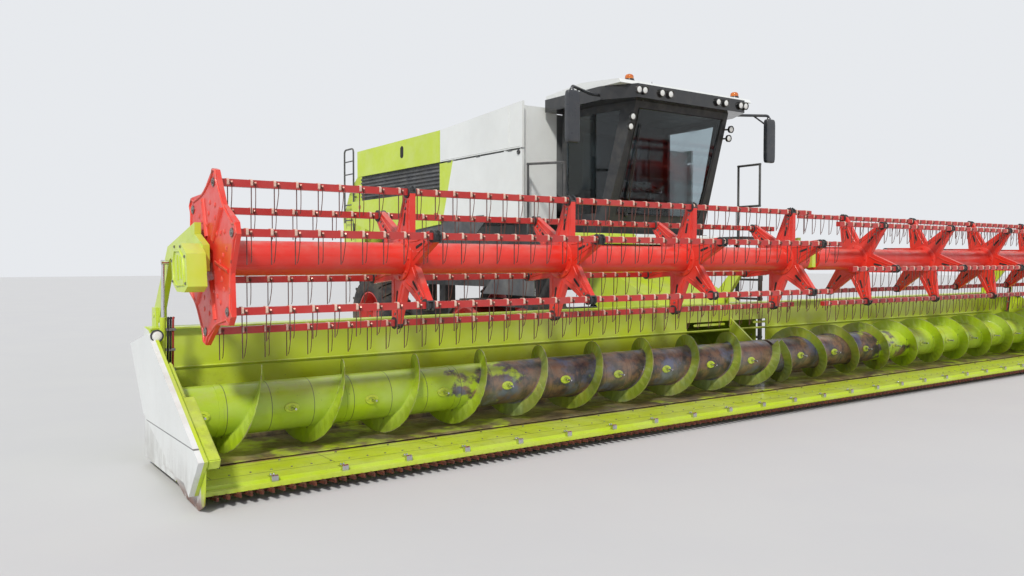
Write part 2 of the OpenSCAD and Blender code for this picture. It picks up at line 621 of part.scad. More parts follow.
module table() color(lime) {
    w = side_sheet_x - run;
    block([-w, w], [120, table_rear], [128, 136]);
    block([-slide_sheet_x + fit, slide_sheet_x - fit], [60, 420], [84 + fit, 112]);
    block([-w, w], [120, 140], [100, 130]);
    for (x = rib_xs) block([x - 30, x + 30], [120, table_rear], [90, 128]);
}
module knife() color("#4a2a24") {
    n = floor((2 * slide_sheet_x - 100) / finger_pitch);
    x0 = -n * finger_pitch / 2;
    teeth = [for (i = [0:n - 1], p = [[0.15, 1], [0.42, 0], [0.58, 0], [0.85, 1]])
        [x0 + (i + p[0]) * finger_pitch, y(p[1] * finger_l)]];
    translate([0, 0, 60]) linear_extrude(24)
        polygon(concat([[x0, y(160)], [x0, y(finger_l)]], teeth, [[-x0, y(finger_l)], [-x0, y(160)]]));
}
module dividers() color(lime) pair() {
    across(slide_sheet_x, slide_sheet_t) polygon(side([[-60, 60], [-100, 300], [150, 410], [1000, 800], [1000, 130], [700, 110],
        [400, 20], [60, 0]]));
}
module end_shields() color(white) pair() {
    across(shield_x, shield_t) polygon(side([[-nose_lead, 370], [1170, 1100], [1780, 980], [1350, 470], [430, 175],
        [180, 170], [70, 100]]));
}
flight_steps = 24;
flight_t = 8;
// A flight as a helical strip along X, its rings stepped round the shaft from x0.
module flight(x0, l, r_in, r_out) {
    n = ceil(l / flight_pitch * flight_steps);
    points = [for (i = [0:n], p = [[r_in, 0], [r_out, 0], [r_out, 1], [r_in, 1]])
        let (x = i / n * (l - flight_t), a = 360 * x / flight_pitch)
        [x0 + x + p[1] * flight_t, p[0] * sin(a), p[0] * cos(a)]];
    walls = [for (i = [0:n - 1], k = [0:3], t = [0, 1])
        let (a = 4 * i + k, b = 4 * i + (k + 1) % 4)
        t == 0 ? [a, a + 4, b] : [b, a + 4, b + 4]];
    polyhedron(points, concat([[0, 1, 2], [0, 2, 3]], [for (w = walls) w],
        [[4 * n, 4 * n + 2, 4 * n + 1], [4 * n, 4 * n + 3, 4 * n + 2]]), convexity = 10);
}
module auger_half(x0, x1) color(lime) {
    shaft(x0, x1, auger_back, auger_z, auger_tube_d);
    // Stub shafts into the side sheet and the middle hanger.
    shaft(-side_sheet_x + fit, x0 + 20, auger_back, auger_z, 90);
    shaft(x1 - 20, -hanger_t / 2 - fit, auger_back, auger_z, 90);
    r_in = (auger_tube_d / 2 + fit) / cos(180 / flight_steps);
    translate([0, y(auger_back), auger_z]) flight(x0, x1 - x0, r_in, auger_d / 2);
}
module auger_right() auger_half(-auger_end_x, -auger_mid_x);
module auger_left() mirror([1, 0, 0]) auger_right();

// Reel
module reel_arm_outline() polygon(side([[reel_arm_back + 60, reel_arm_z - 60], [reel_arm_back + 60, reel_arm_z + 60],
    [1200, 1760], [reel_back + 90, 1920], arm_low[1], arm_low[0], [reel_arm_back - 60, reel_arm_z - 60]]));
module reel_arms() color(lime) {
    pair() across(arm_x, arm_t) reel_arm_outline();
    across(-mid_arm_t / 2, mid_arm_t) reel_arm_outline();
    // Pivot pins, each through both of its ears.
    pin_reach = fit + ear_t + 6;
    pair() shaft(arm_x - pin_reach, arm_x + arm_t + pin_reach, reel_arm_back, reel_arm_z, arm_pin_d);
    shaft(-mid_arm_t / 2 - pin_reach, mid_arm_t / 2 + pin_reach, reel_arm_back, reel_arm_z, arm_pin_d);
}
// The carriage hangs the reel's bearings from a slide under each arm.
arm_low = [[1150, 1660], [reel_back + 90, 1840]];
arm_run = (arm_low[1] - arm_low[0]) / norm(arm_low[1] - arm_low[0]);
slide_drop = 30;
module carriage_outline() polygon(side([arm_low[0] + 60 * arm_run - [0, 0.5], arm_low[1] - [0, 0.5],
    [reel_back - 110, reel_z + 90], [reel_back - 110, reel_z - 90], [reel_back + 110, reel_z - 110],
    arm_low[1] + [160, -100], arm_low[0] + 60 * arm_run - [0, slide_drop]]));
module reel_carriage() color(lime) {
    pair() across(arm_x, arm_t) carriage_outline();
    across(-mid_arm_t / 2, mid_arm_t) carriage_outline();
    // Cover of the reel's drive on the right end.
    across(-arm_x - arm_t - 130, 130) polygon(side([[150, 1480], [180, 1700], [300, 1770], [480, 1770], [560, 1660],
        [540, 1500], [420, 1440], [230, 1440]]));
}
// The cylinder that raises an outer reel arm: its lower pin, its upper pin and the split between.
ram_low = [1250, 700];
ram_high = [1180, 1640];
ram_rod_d = 26;
function ram_pt(x, t) = let (p = ram_low + t * (ram_high - ram_low)) [x, y(p[0]), p[1]];
module reel_lift_barrels() color(lime) pair() {
    difference() {
        bar(ram_pt(ram_x, 0), ram_pt(ram_x, 0.55), ram_d, 32);
        bar(ram_pt(ram_x, 0.1), ram_pt(ram_x, 0.56), ram_rod_d + 2 * fit, 32);
    }
    shaft(ram_x, side_sheet_x - fit, ram_low[0], ram_low[1], 40);
}
module reel_lift_rods() color(steel) pair() {
    bar(ram_pt(ram_x, 0.25), ram_pt(ram_x, 1), ram_rod_d, 32);
    shaft(arm_x + arm_t + fit, ram_x + 15, ram_high[0], ram_high[1], 36);
}

// A six-armed spider with drawn-in sides.
module spider(r_tip, r_root, tip_w) {
    step = 360 / bar_count;
    polygon([for (i = [0:bar_count - 1], p = [[-1, r_tip], [1, r_tip], [0, 0]])
        let (a = 90 - i * step + (p[1] == 0 ? -step / 2 : 0))
        p[1] == 0 ? r_root * [cos(a), sin(a)] : p[1] * [cos(a), sin(a)] + p[0] * tip_w / 2 * [sin(a), -cos(a)]]);
}
module reel_half(x0, x1, spiders, end_x, phase) {
    stub = x0 < 0 ? [-arm_x + fit, -mid_arm_t / 2 - fit] : [mid_arm_t / 2 + fit, arm_x - fit];
    color(red) {
        shaft(x0, x1, reel_back, reel_z, reel_tube_d);
        shaft(min(x0, stub[0]), max(x1, stub[1]), reel_back, reel_z, 70);
        for (x = spiders) translate([x - 25, y(reel_back), reel_z]) rotate([0, 90, 0]) rotate([0, 0, 90 + phase])
            linear_extrude(50) spider(bar_r + 10, 230, 90);
        translate([end_x, y(reel_back), reel_z]) rotate([0, 90, 0]) rotate([0, 0, 90 + phase])
            linear_extrude(30) spider(star_r, 480, star_w);
        for (i = [0:bar_count - 1]) {
            a = phase + i * 360 / bar_count;
            by = y(reel_back) - bar_r * sin(a);
            bz = reel_z + bar_r * cos(a);
            translate([x0, by - bar_t / 2, bz - bar_t / 2]) cube([x1 - x0, bar_t, bar_t]);
        }
    }
    n = floor((x1 - x0 - 120) / tine_pitch);
    first = x0 + (x1 - x0 - n * tine_pitch) / 2;
    color(steel) for (i = [0:bar_count - 1]) {
        a = phase + i * 360 / bar_count;
        by = y(reel_back) - bar_r * sin(a);
        bz = reel_z + bar_r * cos(a) - bar_t / 2;
        for (k = [0:n]) translate([first + k * tine_pitch - 3, by - 3, bz - tine_l + bar_t]) cube([6, 6, tine_l - bar_t + 4]);
    }
}
right_spiders = [-5200, -3580, -2010, -430];
left_spiders = [980, 2520, 4060, 5600];
module reel_right() reel_half(-reel_end_x, -reel_mid_x, right_spiders, -reel_end_x, reel_phase);
module reel_left() reel_half(reel_mid_x, reel_end_x, left_spiders, reel_end_x - 30, left_phase);

// Moving body pieces
module unloading_tube() color(lime) {
    translate([unload_x, y(unload_back), unload_z]) rotate([-90, 0, 0]) cylinder(d = unload_d, h = unload_l);
    translate([unload_x, y(unload_back), 3400]) cylinder(d = unload_d, h = 390);
    translate([unload_x, y(unload_back + unload_l - 240), unload_z - 420]) cylinder(d = 340, h = 400);
}
ladder_x = 1770;
ladder_back = 2860;
ladder_top = 1950;
module ladder() color(dark) {
    x = ladder_x;
    for (b = [2380, 2800]) block([x - 25, x + 25], [b, b + 40], [450, ladder_top - 20]);
    // Hinge barrels on the rear stile.
    for (z = [1000, ladder_top - 80]) {
        translate([x, y(ladder_back), z]) cylinder(d = 40, h = 60);
        block([x - 15, x + 15], [2830, ladder_back], [z, z + 60]);
    }
    for (z = [520:280:1900]) block([x - 60, x + 60], [2400, 2820], [z, z + 30]);
}
module side_door() color(white) {
    side_panel([[panel_front, 2200], [panel_front, door_top], [5790, door_top], [5790, 2280], [4580, 2270]], true);
    // Eyes on the pins of the upper panel.
    for (b = door_pins) difference() {
        block([body_w / 2 - 17, body_w / 2 - 3], [b + 25, b + 50], [door_top - 10, door_pin_z + 7]);
        translate([body_w / 2 - 10, y(b), door_pin_z]) rotate([-90, 0, 0]) cylinder(d = door_pin_d + 2 * fit, h = 80);
    }
}
module side_door_right() mirror([1, 0, 0]) side_door();
module side_door_left() side_door();
lid_split = (tank_x[0] + tank_x[1]) / 2;
lid_z = tank_top + fit;
lid_pin_d = 14;
lid_pin_z = lid_z + 20;
lid_pins = [3850, 4700, 5500];
lid_pin_xs = [tank_x[0] + 40, tank_x[1] - 40];
// Barrel eyes on the lid's edge, which reach in from the pin by the given length.
module lid_eyes(x, reach) for (b = lid_pins) difference() {
    union() {
        translate([x, y(b + 34), lid_pin_z]) rotate([-90, 0, 0]) cylinder(d = 28, h = 60);
        block([min(x, x + reach), max(x, x + reach)], [b + 34, b + 94], [lid_pin_z - 8, lid_pin_z + 8]);
    }
    translate([x, y(b), lid_pin_z]) rotate([-90, 0, 0]) cylinder(d = lid_pin_d + 2 * fit, h = 120);
}
module tank_lid_right() color(grey) {
    block([lid_pin_xs[0] + 19, lid_split - 10], tank_back, [lid_z, lid_z + 30]);
    lid_eyes(lid_pin_xs[0], 30);
}
module tank_lid_left() color(grey) {
    block([lid_split + 10, lid_pin_xs[1] - 19], tank_back, [lid_z, lid_z + 30]);
    lid_eyes(lid_pin_xs[1], -30);
}

main_frame();
front_axle();
track_frames();
track_belts();
rear_axle();
threshing_housing();
body_frame();
engine_block();
grain_tank();
tank_sides();
engine_sides();
engine_hood();
bay_grilles();
lower_rear_panels();
rear_hood();
fenders();
cab_shell();
cab_glass();
cab_roof();
roof_fascia();
operator_seat();
control_console();
cab_skirt();
platforms();
mirrors();
work_lights();
beacons();
straw_chopper();
knuckle_right();
rear_rim_right();
rear_tyre_right();
knuckle_left();
rear_rim_left();
rear_tyre_left();
tie_rod();
feeder_house();
header_frame();
header_sides();
lift_barrels();
lift_rods();
table();
knife();
dividers();
end_shields();
auger_right();
auger_left();
reel_arms();
reel_lift_barrels();
reel_lift_rods();
reel_carriage();
reel_right();
reel_left();
unloading_tube();
cab_door();
ladder();
side_door_right();
side_door_left();
tank_lid_right();
tank_lid_left();
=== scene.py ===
from collections import namedtuple
import math

import bmesh
import bpy
from mathutils import Matrix, Vector


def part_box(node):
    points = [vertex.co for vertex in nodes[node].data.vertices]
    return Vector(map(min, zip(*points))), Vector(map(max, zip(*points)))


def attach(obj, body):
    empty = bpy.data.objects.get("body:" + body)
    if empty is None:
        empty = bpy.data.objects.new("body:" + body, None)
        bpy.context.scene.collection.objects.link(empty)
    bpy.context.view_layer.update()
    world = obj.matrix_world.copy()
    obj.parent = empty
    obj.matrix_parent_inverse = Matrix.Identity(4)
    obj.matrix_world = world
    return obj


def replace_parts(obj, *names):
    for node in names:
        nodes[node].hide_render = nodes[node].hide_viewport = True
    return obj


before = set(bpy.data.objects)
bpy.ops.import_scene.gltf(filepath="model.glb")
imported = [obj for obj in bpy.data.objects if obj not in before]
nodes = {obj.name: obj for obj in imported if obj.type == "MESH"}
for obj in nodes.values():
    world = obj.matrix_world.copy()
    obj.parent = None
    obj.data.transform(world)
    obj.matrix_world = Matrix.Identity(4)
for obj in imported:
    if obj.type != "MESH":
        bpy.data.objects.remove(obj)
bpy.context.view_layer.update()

# Places in metres, as the part's source has them. X is across, "back" is behind the finger tips, Z is up.
TIP_Y = -5.0476
SHIELD_X = 6.888
SLIDE_X = 6.880
LIP_TOP = 0.112
TABLE_TOP = 0.136
WALL_BACK = 1.50
AUGER_BACK = 0.95
AUGER_Z = 0.50
AUGER_TUBE_R = 0.20
AUGER_END = 6.8447
AUGER_MID = 0.03
FLIGHT_PITCH = 0.69
FLIGHT_T = 0.008
REEL_BACK = 0.36
REEL_Z = 1.67
REEL_END = 6.7147
REEL_MID = 0.09
BAR_R = 0.53
BARS = 6
CAP_R = 0.0475
STAR_FACE = 6.7152
TINE_L = 0.235
TINE_PITCH = 0.165
TINE_GAPS = math.floor((REEL_END - REEL_MID - 0.12) / TINE_PITCH)
FIRST_TINE = REEL_MID + (REEL_END - REEL_MID - TINE_GAPS * TINE_PITCH) / 2
BODY_X = 1.65
CAB_TOP = 3.68
TYRE_X = 1.40
REAR_BACK = 8.30
REAR_Z = 0.70

# The machine's halves, with the turn of the reel's first bar in degrees and its spiders' places along X
Half = namedtuple("Half", "side tag phase spiders")
HALVES = (Half(-1, "right", 12, (-5.20, -3.58, -2.01, -0.43)), Half(1, "left", -18, (0.98, 2.52, 4.06, 5.60)))


def y(back):
    return TIP_Y + back


def at(x, back, z):
    return Vector((x, TIP_Y + back, z))


def on_reel(x, radius, degrees, off=0.0):
    """A place round the reel's axis, in degrees from the top towards the front, moved aside by off."""
    a = math.radians(degrees)
    return Vector((x, y(REEL_BACK) - radius * math.sin(a) + off * math.cos(a),
                   REEL_Z + radius * math.cos(a) + off * math.sin(a)))


def outwards(degrees):
    """The direction away from the reel's axis."""
    a = math.radians(degrees)
    return Vector((0, -math.sin(a), math.cos(a)))


def turns(half):
    """Where the bars of one half of the reel stand."""
    return [half.phase + 360 / BARS * i for i in range(BARS)]


def srgb(r, g, b):
    def linear(c):
        c /= 255
        return c / 12.92 if c <= 0.04045 else ((c + 0.055) / 1.055) ** 2.4
    return (linear(r), linear(g), linear(b), 1.0)


def scaled(colour, by, plus=0.0):
    return tuple(min(1.0, v * by + plus) for v in colour[:3]) + (1,)


LIME = srgb(193, 214, 42)
LIME_DEEP = srgb(168, 196, 20)
WHITE = srgb(228, 231, 229)
WHITE_DIRTY = srgb(168, 164, 152)
RED = srgb(228, 46, 26)
RED_DEEP = srgb(196, 28, 28)
BLACK = srgb(30, 31, 33)
CHARCOAL = srgb(62, 65, 70)
DUST = srgb(176, 166, 146)
SOIL = srgb(92, 76, 58)
RUST = srgb(104, 52, 34)
RUST_DARK = srgb(52, 26, 22)
PRIMER = srgb(70, 66, 60)
RUBBED = srgb(126, 118, 104)


# Shaders: a small layer over Blender's nodes, on object coordinates, which stay with the piece
class Shader:
    def __init__(self, name, rough=0.5, metal=0.0, coat=0.0, sheen=0.0):
        self.mat = bpy.data.materials.new(name)
        self.mat.use_nodes = True
        self.tree = self.mat.node_tree
        self.bsdf = self.tree.nodes["Principled BSDF"]
        self.set("Roughness", rough)
        self.set("Metallic", metal)
        if coat:
            self.set("Coat Weight", coat)
            self.set("Coat Roughness", 0.12)
        if sheen:
            self.set("Sheen Weight", sheen)
        self.pos = self.new("TexCoord").outputs["Object"]
        split = self.new("SeparateXYZ")
        self.tree.links.new(self.pos, split.inputs[0])
        self.x, self.y, self.z = split.outputs
        self.height = None

    def new(self, kind):
        return self.tree.nodes.new("ShaderNode" + kind)

    def feed(self, socket, value):
        if isinstance(value, bpy.types.NodeSocket):
            self.tree.links.new(value, socket)
        else:
            socket.default_value = value

    def set(self, socket, value):
        self.feed(self.bsdf.inputs[socket], value)

    def math(self, op, a, b=0.0):
        n = self.new("Math")
        n.operation = op
        self.feed(n.inputs[0], a)
        self.feed(n.inputs[1], b)
        return n.outputs[0]

    def add(self, a, b):
        return self.math("ADD", a, b)

    def sub(self, a, b):
        return self.math("SUBTRACT", a, b)

    def size(self, a):
        return self.math("ABSOLUTE", a)

    def under(self, a, b):
        return self.math("LESS_THAN", a, b)

    def fold(self, op, first, *others):
        for other in others:
            first = self.math(op, first, other)
        return first

    def mul(self, *values):
        return self.fold("MULTIPLY", *values)

    def most(self, *values):
        return self.fold("MAXIMUM", *values)

    def least(self, *values):
        return self.fold("MINIMUM", *values)

    def length(self, a, b):
        return self.math("SQRT", self.add(self.mul(a, a), self.mul(b, b)))

    def ramp(self, value, lo, hi, to=(0.0, 1.0)):
        n = self.new("MapRange")
        n.interpolation_type = "SMOOTHSTEP"
        for socket, v in zip(n.inputs, (value, lo, hi, to[0], to[1])):
            self.feed(socket, v)
        return n.outputs[0]

    def within(self, value, middle, half, soft=0.0015):
        return self.ramp(self.size(self.sub(value, middle)), half + soft, half)

    def noise(self, scale, detail=3.0, rough=0.55, stretch=(1, 1, 1), shift=0.0):
        m = self.new("Mapping")
        self.tree.links.new(self.pos, m.inputs["Vector"])
        m.inputs["Scale"].default_value = stretch
        m.inputs["Location"].default_value = (shift, shift * 0.7, shift * 1.3)
        n = self.new("TexNoise")
        for socket, value in (("Scale", scale), ("Detail", detail), ("Roughness", rough)):
            n.inputs[socket].default_value = value
        self.tree.links.new(m.outputs[0], n.inputs["Vector"])
        return n.outputs[0]

    def blend(self, fac, a, b):
        n = self.new("Mix")
        n.data_type = "RGBA"
        self.feed(n.inputs[0], fac)
        self.feed(n.inputs[6], a)
        self.feed(n.inputs[7], b)
        return n.outputs[2]

    def normal(self, axis, kind="Normal"):
        g, split = self.new("NewGeometry"), self.new("SeparateXYZ")
        self.tree.links.new(g.outputs[kind], split.inputs[0])
        return split.outputs[axis]

    def facing_up(self):
        return self.normal(2)

    def facing_out(self):
        """1 on the faces that look away from the machine's middle."""
        return self.ramp(self.mul(self.normal(0, "True Normal"), self.math("SIGN", self.x)), 0.5, 0.8)

    def edges(self, radius=0.006):
        """1 on sharp edges, where the rounded normal leaves the true one."""
        b, g, d = self.new("Bevel"), self.new("NewGeometry"), self.new("VectorMath")
        b.samples = 4
        b.inputs["Radius"].default_value = radius
        d.operation = "DOT_PRODUCT"
        self.tree.links.new(b.outputs[0], d.inputs[0])
        self.tree.links.new(g.outputs["True Normal"], d.inputs[1])
        return self.ramp(d.outputs["Value"], 0.985, 0.90)

    def raise_by(self, height):
        self.height = height if self.height is None else self.add(self.height, height)

    def finish(self, colour, bump=0.002):
        self.set("Base Color", colour)
        if self.height is not None:
            n = self.new("Bump")
            n.inputs["Strength"].default_value = 1.0
            n.inputs["Distance"].default_value = bump
            self.tree.links.new(self.height, n.inputs["Height"])
            self.tree.links.new(n.outputs[0], self.bsdf.inputs["Normal"])
        return self.mat


def painted(name, tone, rough=0.34, coat=0.25, dust=0.3, grime=0.4, chips=0.4, low=1.1, wear=0.35, fade=0.10):
    """Paint with slow colour drift, dust on what faces up, grime low down, chips and worn edges."""
    s = Shader(name, rough, 0.0, coat)
    colour = tone(s) if callable(tone) else tone
    drift = s.noise(0.9, 4, 0.6)
    colour = s.blend(s.ramp(drift, 0.25, 0.75, (0.0, 0.10)), colour, (0.02, 0.02, 0.02, 1))
    pale = s.noise(2.7, 3, 0.6, shift=3.1)
    colour = s.blend(s.ramp(pale, 0.35, 0.8, (0.0, fade)), colour, (0.9, 0.9, 0.85, 1))
    if dust:
        film = s.noise(5.5, 5, 0.65, shift=1.7)
        mask = s.mul(s.ramp(s.facing_up(), 0.2, 0.9, (0.15, 1.0)), s.ramp(film, 0.38, 0.72), dust)
        colour = s.blend(mask, colour, DUST)
    if grime:
        streak = s.noise(6.0, 5, 0.7, stretch=(1, 1, 0.25), shift=7.3)
        mask = s.mul(s.ramp(s.z, low, low * 0.25), s.ramp(streak, 0.40, 0.66), grime)
        colour = s.blend(mask, colour, SOIL)
    if chips:
        spot = s.noise(38, 3, 0.6, shift=2.9)
        patch = s.noise(2.2, 3, 0.6, shift=9.1)
        mask = s.mul(s.ramp(spot, 0.665, 0.69), s.ramp(patch, 0.5, 0.62), chips)
        colour = s.blend(mask, colour, PRIMER)
    if wear:
        rub = s.noise(21, 4, 0.7, shift=5.7)
        mask = s.mul(s.edges(), s.ramp(rub, 0.44, 0.62), wear)
        colour = s.blend(mask, colour, RUBBED)
    sheen = s.noise(8, 3, 0.6, shift=4.4)
    s.set("Roughness", s.ramp(sheen, 0.3, 0.75, (rough * 0.85, min(1.0, rough * 1.45))))
    s.raise_by(s.ramp(s.noise(3.1, 2, 0.5, shift=6.2), 0.0, 1.0))
    return s.finish(colour, 0.0016)


def plastic(name, colour, rough=0.55, grain=420, dust=0.22, coat=0.0):
    """Moulded plastic with a fine grain, paler patches and a film of dust."""
    s = Shader(name, rough, 0.0, coat)
    c = s.blend(s.ramp(s.noise(1.9, 4, 0.6), 0.3, 0.8, (0.0, 0.22)), colour, scaled(colour, 2.2, 0.02))
    film = s.noise(7, 5, 0.65, shift=1.1)
    c = s.blend(s.mul(s.ramp(s.facing_up(), 0.1, 0.9, (0.25, 1.0)), s.ramp(film, 0.4, 0.7), dust), c, DUST)
    s.raise_by(s.noise(grain, 2, 0.5))
    sheen = s.noise(9, 3, 0.6, shift=2.2)
    s.set("Roughness", s.ramp(sheen, 0.3, 0.7, (rough * 0.85, min(1.0, rough * 1.25))))
    return s.finish(c, 0.0004)


def rubber(name, base, mud, low=0.6, grain=160):
    """Rubber with mud caked on it, thickest near the ground."""
    s = Shader(name, 0.82)
    c = s.blend(s.ramp(s.noise(3.4, 4, 0.6), 0.3, 0.75), base, scaled(base, 1.9))
    caked = s.mul(s.ramp(s.noise(5.2, 6, 0.7, shift=3.3), 0.40, 0.62), s.ramp(s.z, low * 1.6, 0.05, (0.25, 0.9)))
    c = s.blend(caked, c, mud)
    s.raise_by(s.mul(s.noise(grain, 3, 0.6), 0.35))
    s.raise_by(caked)
    return s.finish(c, 0.003)


def steel(name, base, rough=0.3, rust=0.25, scratch=0.35, metal=1.0):
    """Bare metal, brushed along X, with spots of rust."""
    s = Shader(name, rough, metal)
    c = s.blend(s.ramp(s.noise(14, 4, 0.6), 0.3, 0.75, (0.0, 0.5)), base, scaled(base, 0.55))
    if rust:
        c = s.blend(s.mul(s.ramp(s.noise(9, 6, 0.7, shift=4.4), 0.52, 0.68), rust), c, RUST)
    brushed = s.noise(60, 3, 0.6, stretch=(0.2, 1, 1))
    s.set("Roughness", s.ramp(brushed, 0.3, 0.7, (rough * (1 - scratch), rough * (1 + scratch))))
    s.raise_by(s.noise(120, 3, 0.6, stretch=(0.15, 1, 1)))
    return s.finish(c, 0.0003)


def around(normal, across, k, sides):
    a = 2 * math.pi * k / sides
    return normal * math.cos(a) + across * math.sin(a)


def place(name, data):
    obj = bpy.data.objects.new(name, data)
    bpy.context.scene.collection.objects.link(obj)
    return obj


# Meshes: every piece is built in metres at its place, with its origin at the part's origin
class Mesh:
    def __init__(self):
        self.verts = []
        self.faces = []

    def add(self, verts, faces):
        base = len(self.verts)
        self.verts += [tuple(v) for v in verts]
        self.faces += [tuple(base + i for i in f) for f in faces]

    def skin(self, verts, rings, sides, closed=False, caps=True):
        """Faces between rings of points, with a cap at each end or the last ring joined to the first."""
        faces = []
        if caps and not closed:
            faces = [range(sides)[::-1], range((rings - 1) * sides, rings * sides)]
        for i in range(rings if closed else rings - 1):
            a, b = i * sides, (i + 1) % rings * sides
            faces += [(a + k, a + (k + 1) % sides, b + (k + 1) % sides, b + k) for k in range(sides)]
        self.add(verts, faces)

    def prism(self, outline, axis, lo, hi):
        """Sweep an outline, given in the other two axes, along axis 0, 1 or 2."""
        put = (lambda p, t: (t, p[0], p[1]), lambda p, t: (p[0], t, p[1]), lambda p, t: (p[0], p[1], t))[axis]
        self.skin([put(p, t) for t in (lo, hi) for p in outline], 2, len(outline))

    def plate(self, outline, xa, xb):
        """Sweep an outline of (back, z) points between two places along X, given in either order."""
        self.prism([(y(back), z) for back, z in outline], 0, min(xa, xb), max(xa, xb))

    def block(self, x, back, z):
        self.plate([(back[0], z[0]), (back[1], z[0]), (back[1], z[1]), (back[0], z[1])], *x)

    def tube(self, points, radius, sides=8, closed=False, flat=1.0):
        """Round bar through points; radius is one number or one for each point."""
        points = [Vector(p) for p in points]
        n = len(points)
        radii = radius if isinstance(radius, list) else [radius] * n
        verts = []
        normal = None
        for i, p in enumerate(points):
            if closed:
                ahead, behind = points[(i + 1) % n], points[i - 1]
            else:
                ahead, behind = points[min(i + 1, n - 1)], points[max(i - 1, 0)]
            along = (ahead - behind).normalized()
            if normal is None:
                normal = along.orthogonal().normalized()
            normal = (normal - along * normal.dot(along)).normalized()
            across = along.cross(normal) * flat
            verts += [p + around(normal, across, k, sides) * radii[i] for k in range(sides)]
        self.skin(verts, n, sides, closed)

    def turned(self, origin, direction, profile, sides=24, ring=False):
        """A profile of (distance along, radius) turned about a line."""
        origin, along = Vector(origin), Vector(direction).normalized()
        normal = Vector((0, 0, 1)) if abs(along.x) > 0.9 else along.orthogonal().normalized()
        across = along.cross(normal)
        verts = [origin + along * d + around(normal, across, k, sides) * max(r, 1e-5)
                 for d, r in profile for k in range(sides)]
        self.skin(verts, len(profile), sides, ring)

    def bolt(self, origin, direction, r=0.011, h=0.008):
        self.turned(origin, direction, [(0, r * 1.5), (0.002, r * 1.5), (0.002, r), (h, r), (h + 0.002, r * 0.75)], 6)

    def ring_of(self, origin, direction, radius, count, r, h):
        """A circle of bolts."""
        along = Vector(direction).normalized()
        normal = Vector((0, 0, 1))
        for k in range(count):
            self.bolt(Vector(origin) + around(normal, along.cross(normal), k, count) * radius, along, r, h)

    def make(self, name, material, body, slot, smooth=35, bevel=0.0):
        """Make the object: welded, with outward normals, bevelled and shaded smooth below an angle."""
        bm = bmesh.new()
        vs = [bm.verts.new(v) for v in self.verts]
        for f in self.faces:
            bm.faces.new([vs[i] for i in f])
        bmesh.ops.remove_doubles(bm, verts=bm.verts, dist=1e-6)
        bmesh.ops.recalc_face_normals(bm, faces=bm.faces)
        if bevel:
            sharp = [e for e in bm.edges if len(e.link_faces) == 2 and e.calc_face_angle(0) > math.radians(40)]
            bmesh.ops.bevel(bm, geom=sharp, offset=bevel, segments=2, affect="EDGES", clamp_overlap=True)
        data = bpy.data.meshes.new(name)
        bm.to_mesh(data)
        bm.free()
        data.polygons.foreach_set("use_smooth", [True] * len(data.polygons))
        data.set_sharp_from_angle(angle=math.radians(smooth))
        data.materials.append(material)
        obj = place(name, data)
        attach(obj, body)
        return obj


def rounded(points, radius, steps=4):
    """Round the corners of a path of 3D points, for rails and hoses."""
    points = [Vector(p) for p in points]
    out = [points[0]]
    for a, b, c in zip(points, points[1:], points[2:]):
        r = min(radius, (a - b).length * 0.48, (c - b).length * 0.48)
        p, q = b + (a - b).normalized() * r, b + (c - b).normalized() * r
        out += [(p * (1 - t) ** 2 + b * 2 * t * (1 - t) + q * t * t) for t in [i / steps for i in range(steps + 1)]]
    return out + [points[-1]]


def curve(points, steps=8):
    """A smooth path through points, for hoses."""
    pts = [Vector(p) for p in points]
    pts = [pts[0] * 2 - pts[1]] + pts + [pts[-1] * 2 - pts[-2]]
    out = []
    for i in range(1, len(pts) - 2):
        p0, p1, p2, p3 = pts[i - 1:i + 3]
        for t in [k / steps for k in range(steps)]:
            out.append(0.5 * ((2 * p1) + (p2 - p0) * t + (2 * p0 - 5 * p1 + 4 * p2 - p3) * t * t
                              + (3 * p1 - p0 - 3 * p2 + p3) * t ** 3))
    return out + [pts[-2]]


# Tones of the CAD nodes: colours that change with the place on the machine
def back_of(s):
    return s.sub(s.y, TIP_Y)


def side_stripe(s):
    """White front, lime rear, with the curved edge that the photograph shows between them."""
    bend_z = 2.28
    above = s.most(s.sub(s.z, bend_z), 0.0)
    below = s.most(s.sub(bend_z, s.z), 0.0)
    edge = s.sub(5.70, s.add(s.mul(above, 0.34), s.mul(below, below, 3.0)))
    return s.blend(s.ramp(s.sub(back_of(s), edge), -0.002, 0.002), WHITE, LIME)


def apron_tone(s):
    return s.blend(s.ramp(s.x, -0.452, -0.448), LIME, WHITE)


def auger_tone(s):
    """Lime flights over a tube that straw has worn to dark steel towards the middle."""
    sheet = 0.345
    radius = s.length(s.sub(s.y, y(AUGER_BACK)), s.sub(s.z, AUGER_Z))
    on_tube = s.ramp(radius, 0.222, 0.204)
    inner = s.size(s.add(s.x, 0.9))
    patch = s.add(s.noise(2.6, 5, 0.62, stretch=(0.7, 1, 1), shift=2.2), s.ramp(inner, 4.9, 1.8, (-0.22, 0.30)))
    worn = s.mul(s.ramp(patch, 0.53, 0.60), s.ramp(on_tube, 0.0, 1.0, (0.42, 1.0)))
    metal = s.blend(s.ramp(s.noise(6, 5, 0.7, shift=8.8), 0.40, 0.62), srgb(44, 40, 50), srgb(122, 88, 66))
    metal = s.blend(s.ramp(s.noise(3.3, 4, 0.6, shift=5.1), 0.52, 0.66), metal, srgb(84, 92, 124))
    seam = s.mul(s.within(s.math("FRACT", s.mul(s.add(s.x, 7.0), 1 / sheet)), 0.5, 0.008, 0.004), on_tube)
    crest = s.mul(s.ramp(radius, 0.318, 0.328), s.ramp(s.noise(9, 4, 0.6, shift=1.9), 0.42, 0.6), 0.8)
    colour = s.blend(worn, LIME_DEEP, metal)
    colour = s.blend(s.mul(seam, 0.75), colour, srgb(40, 40, 30))
    return s.blend(crest, colour, srgb(150, 140, 110))


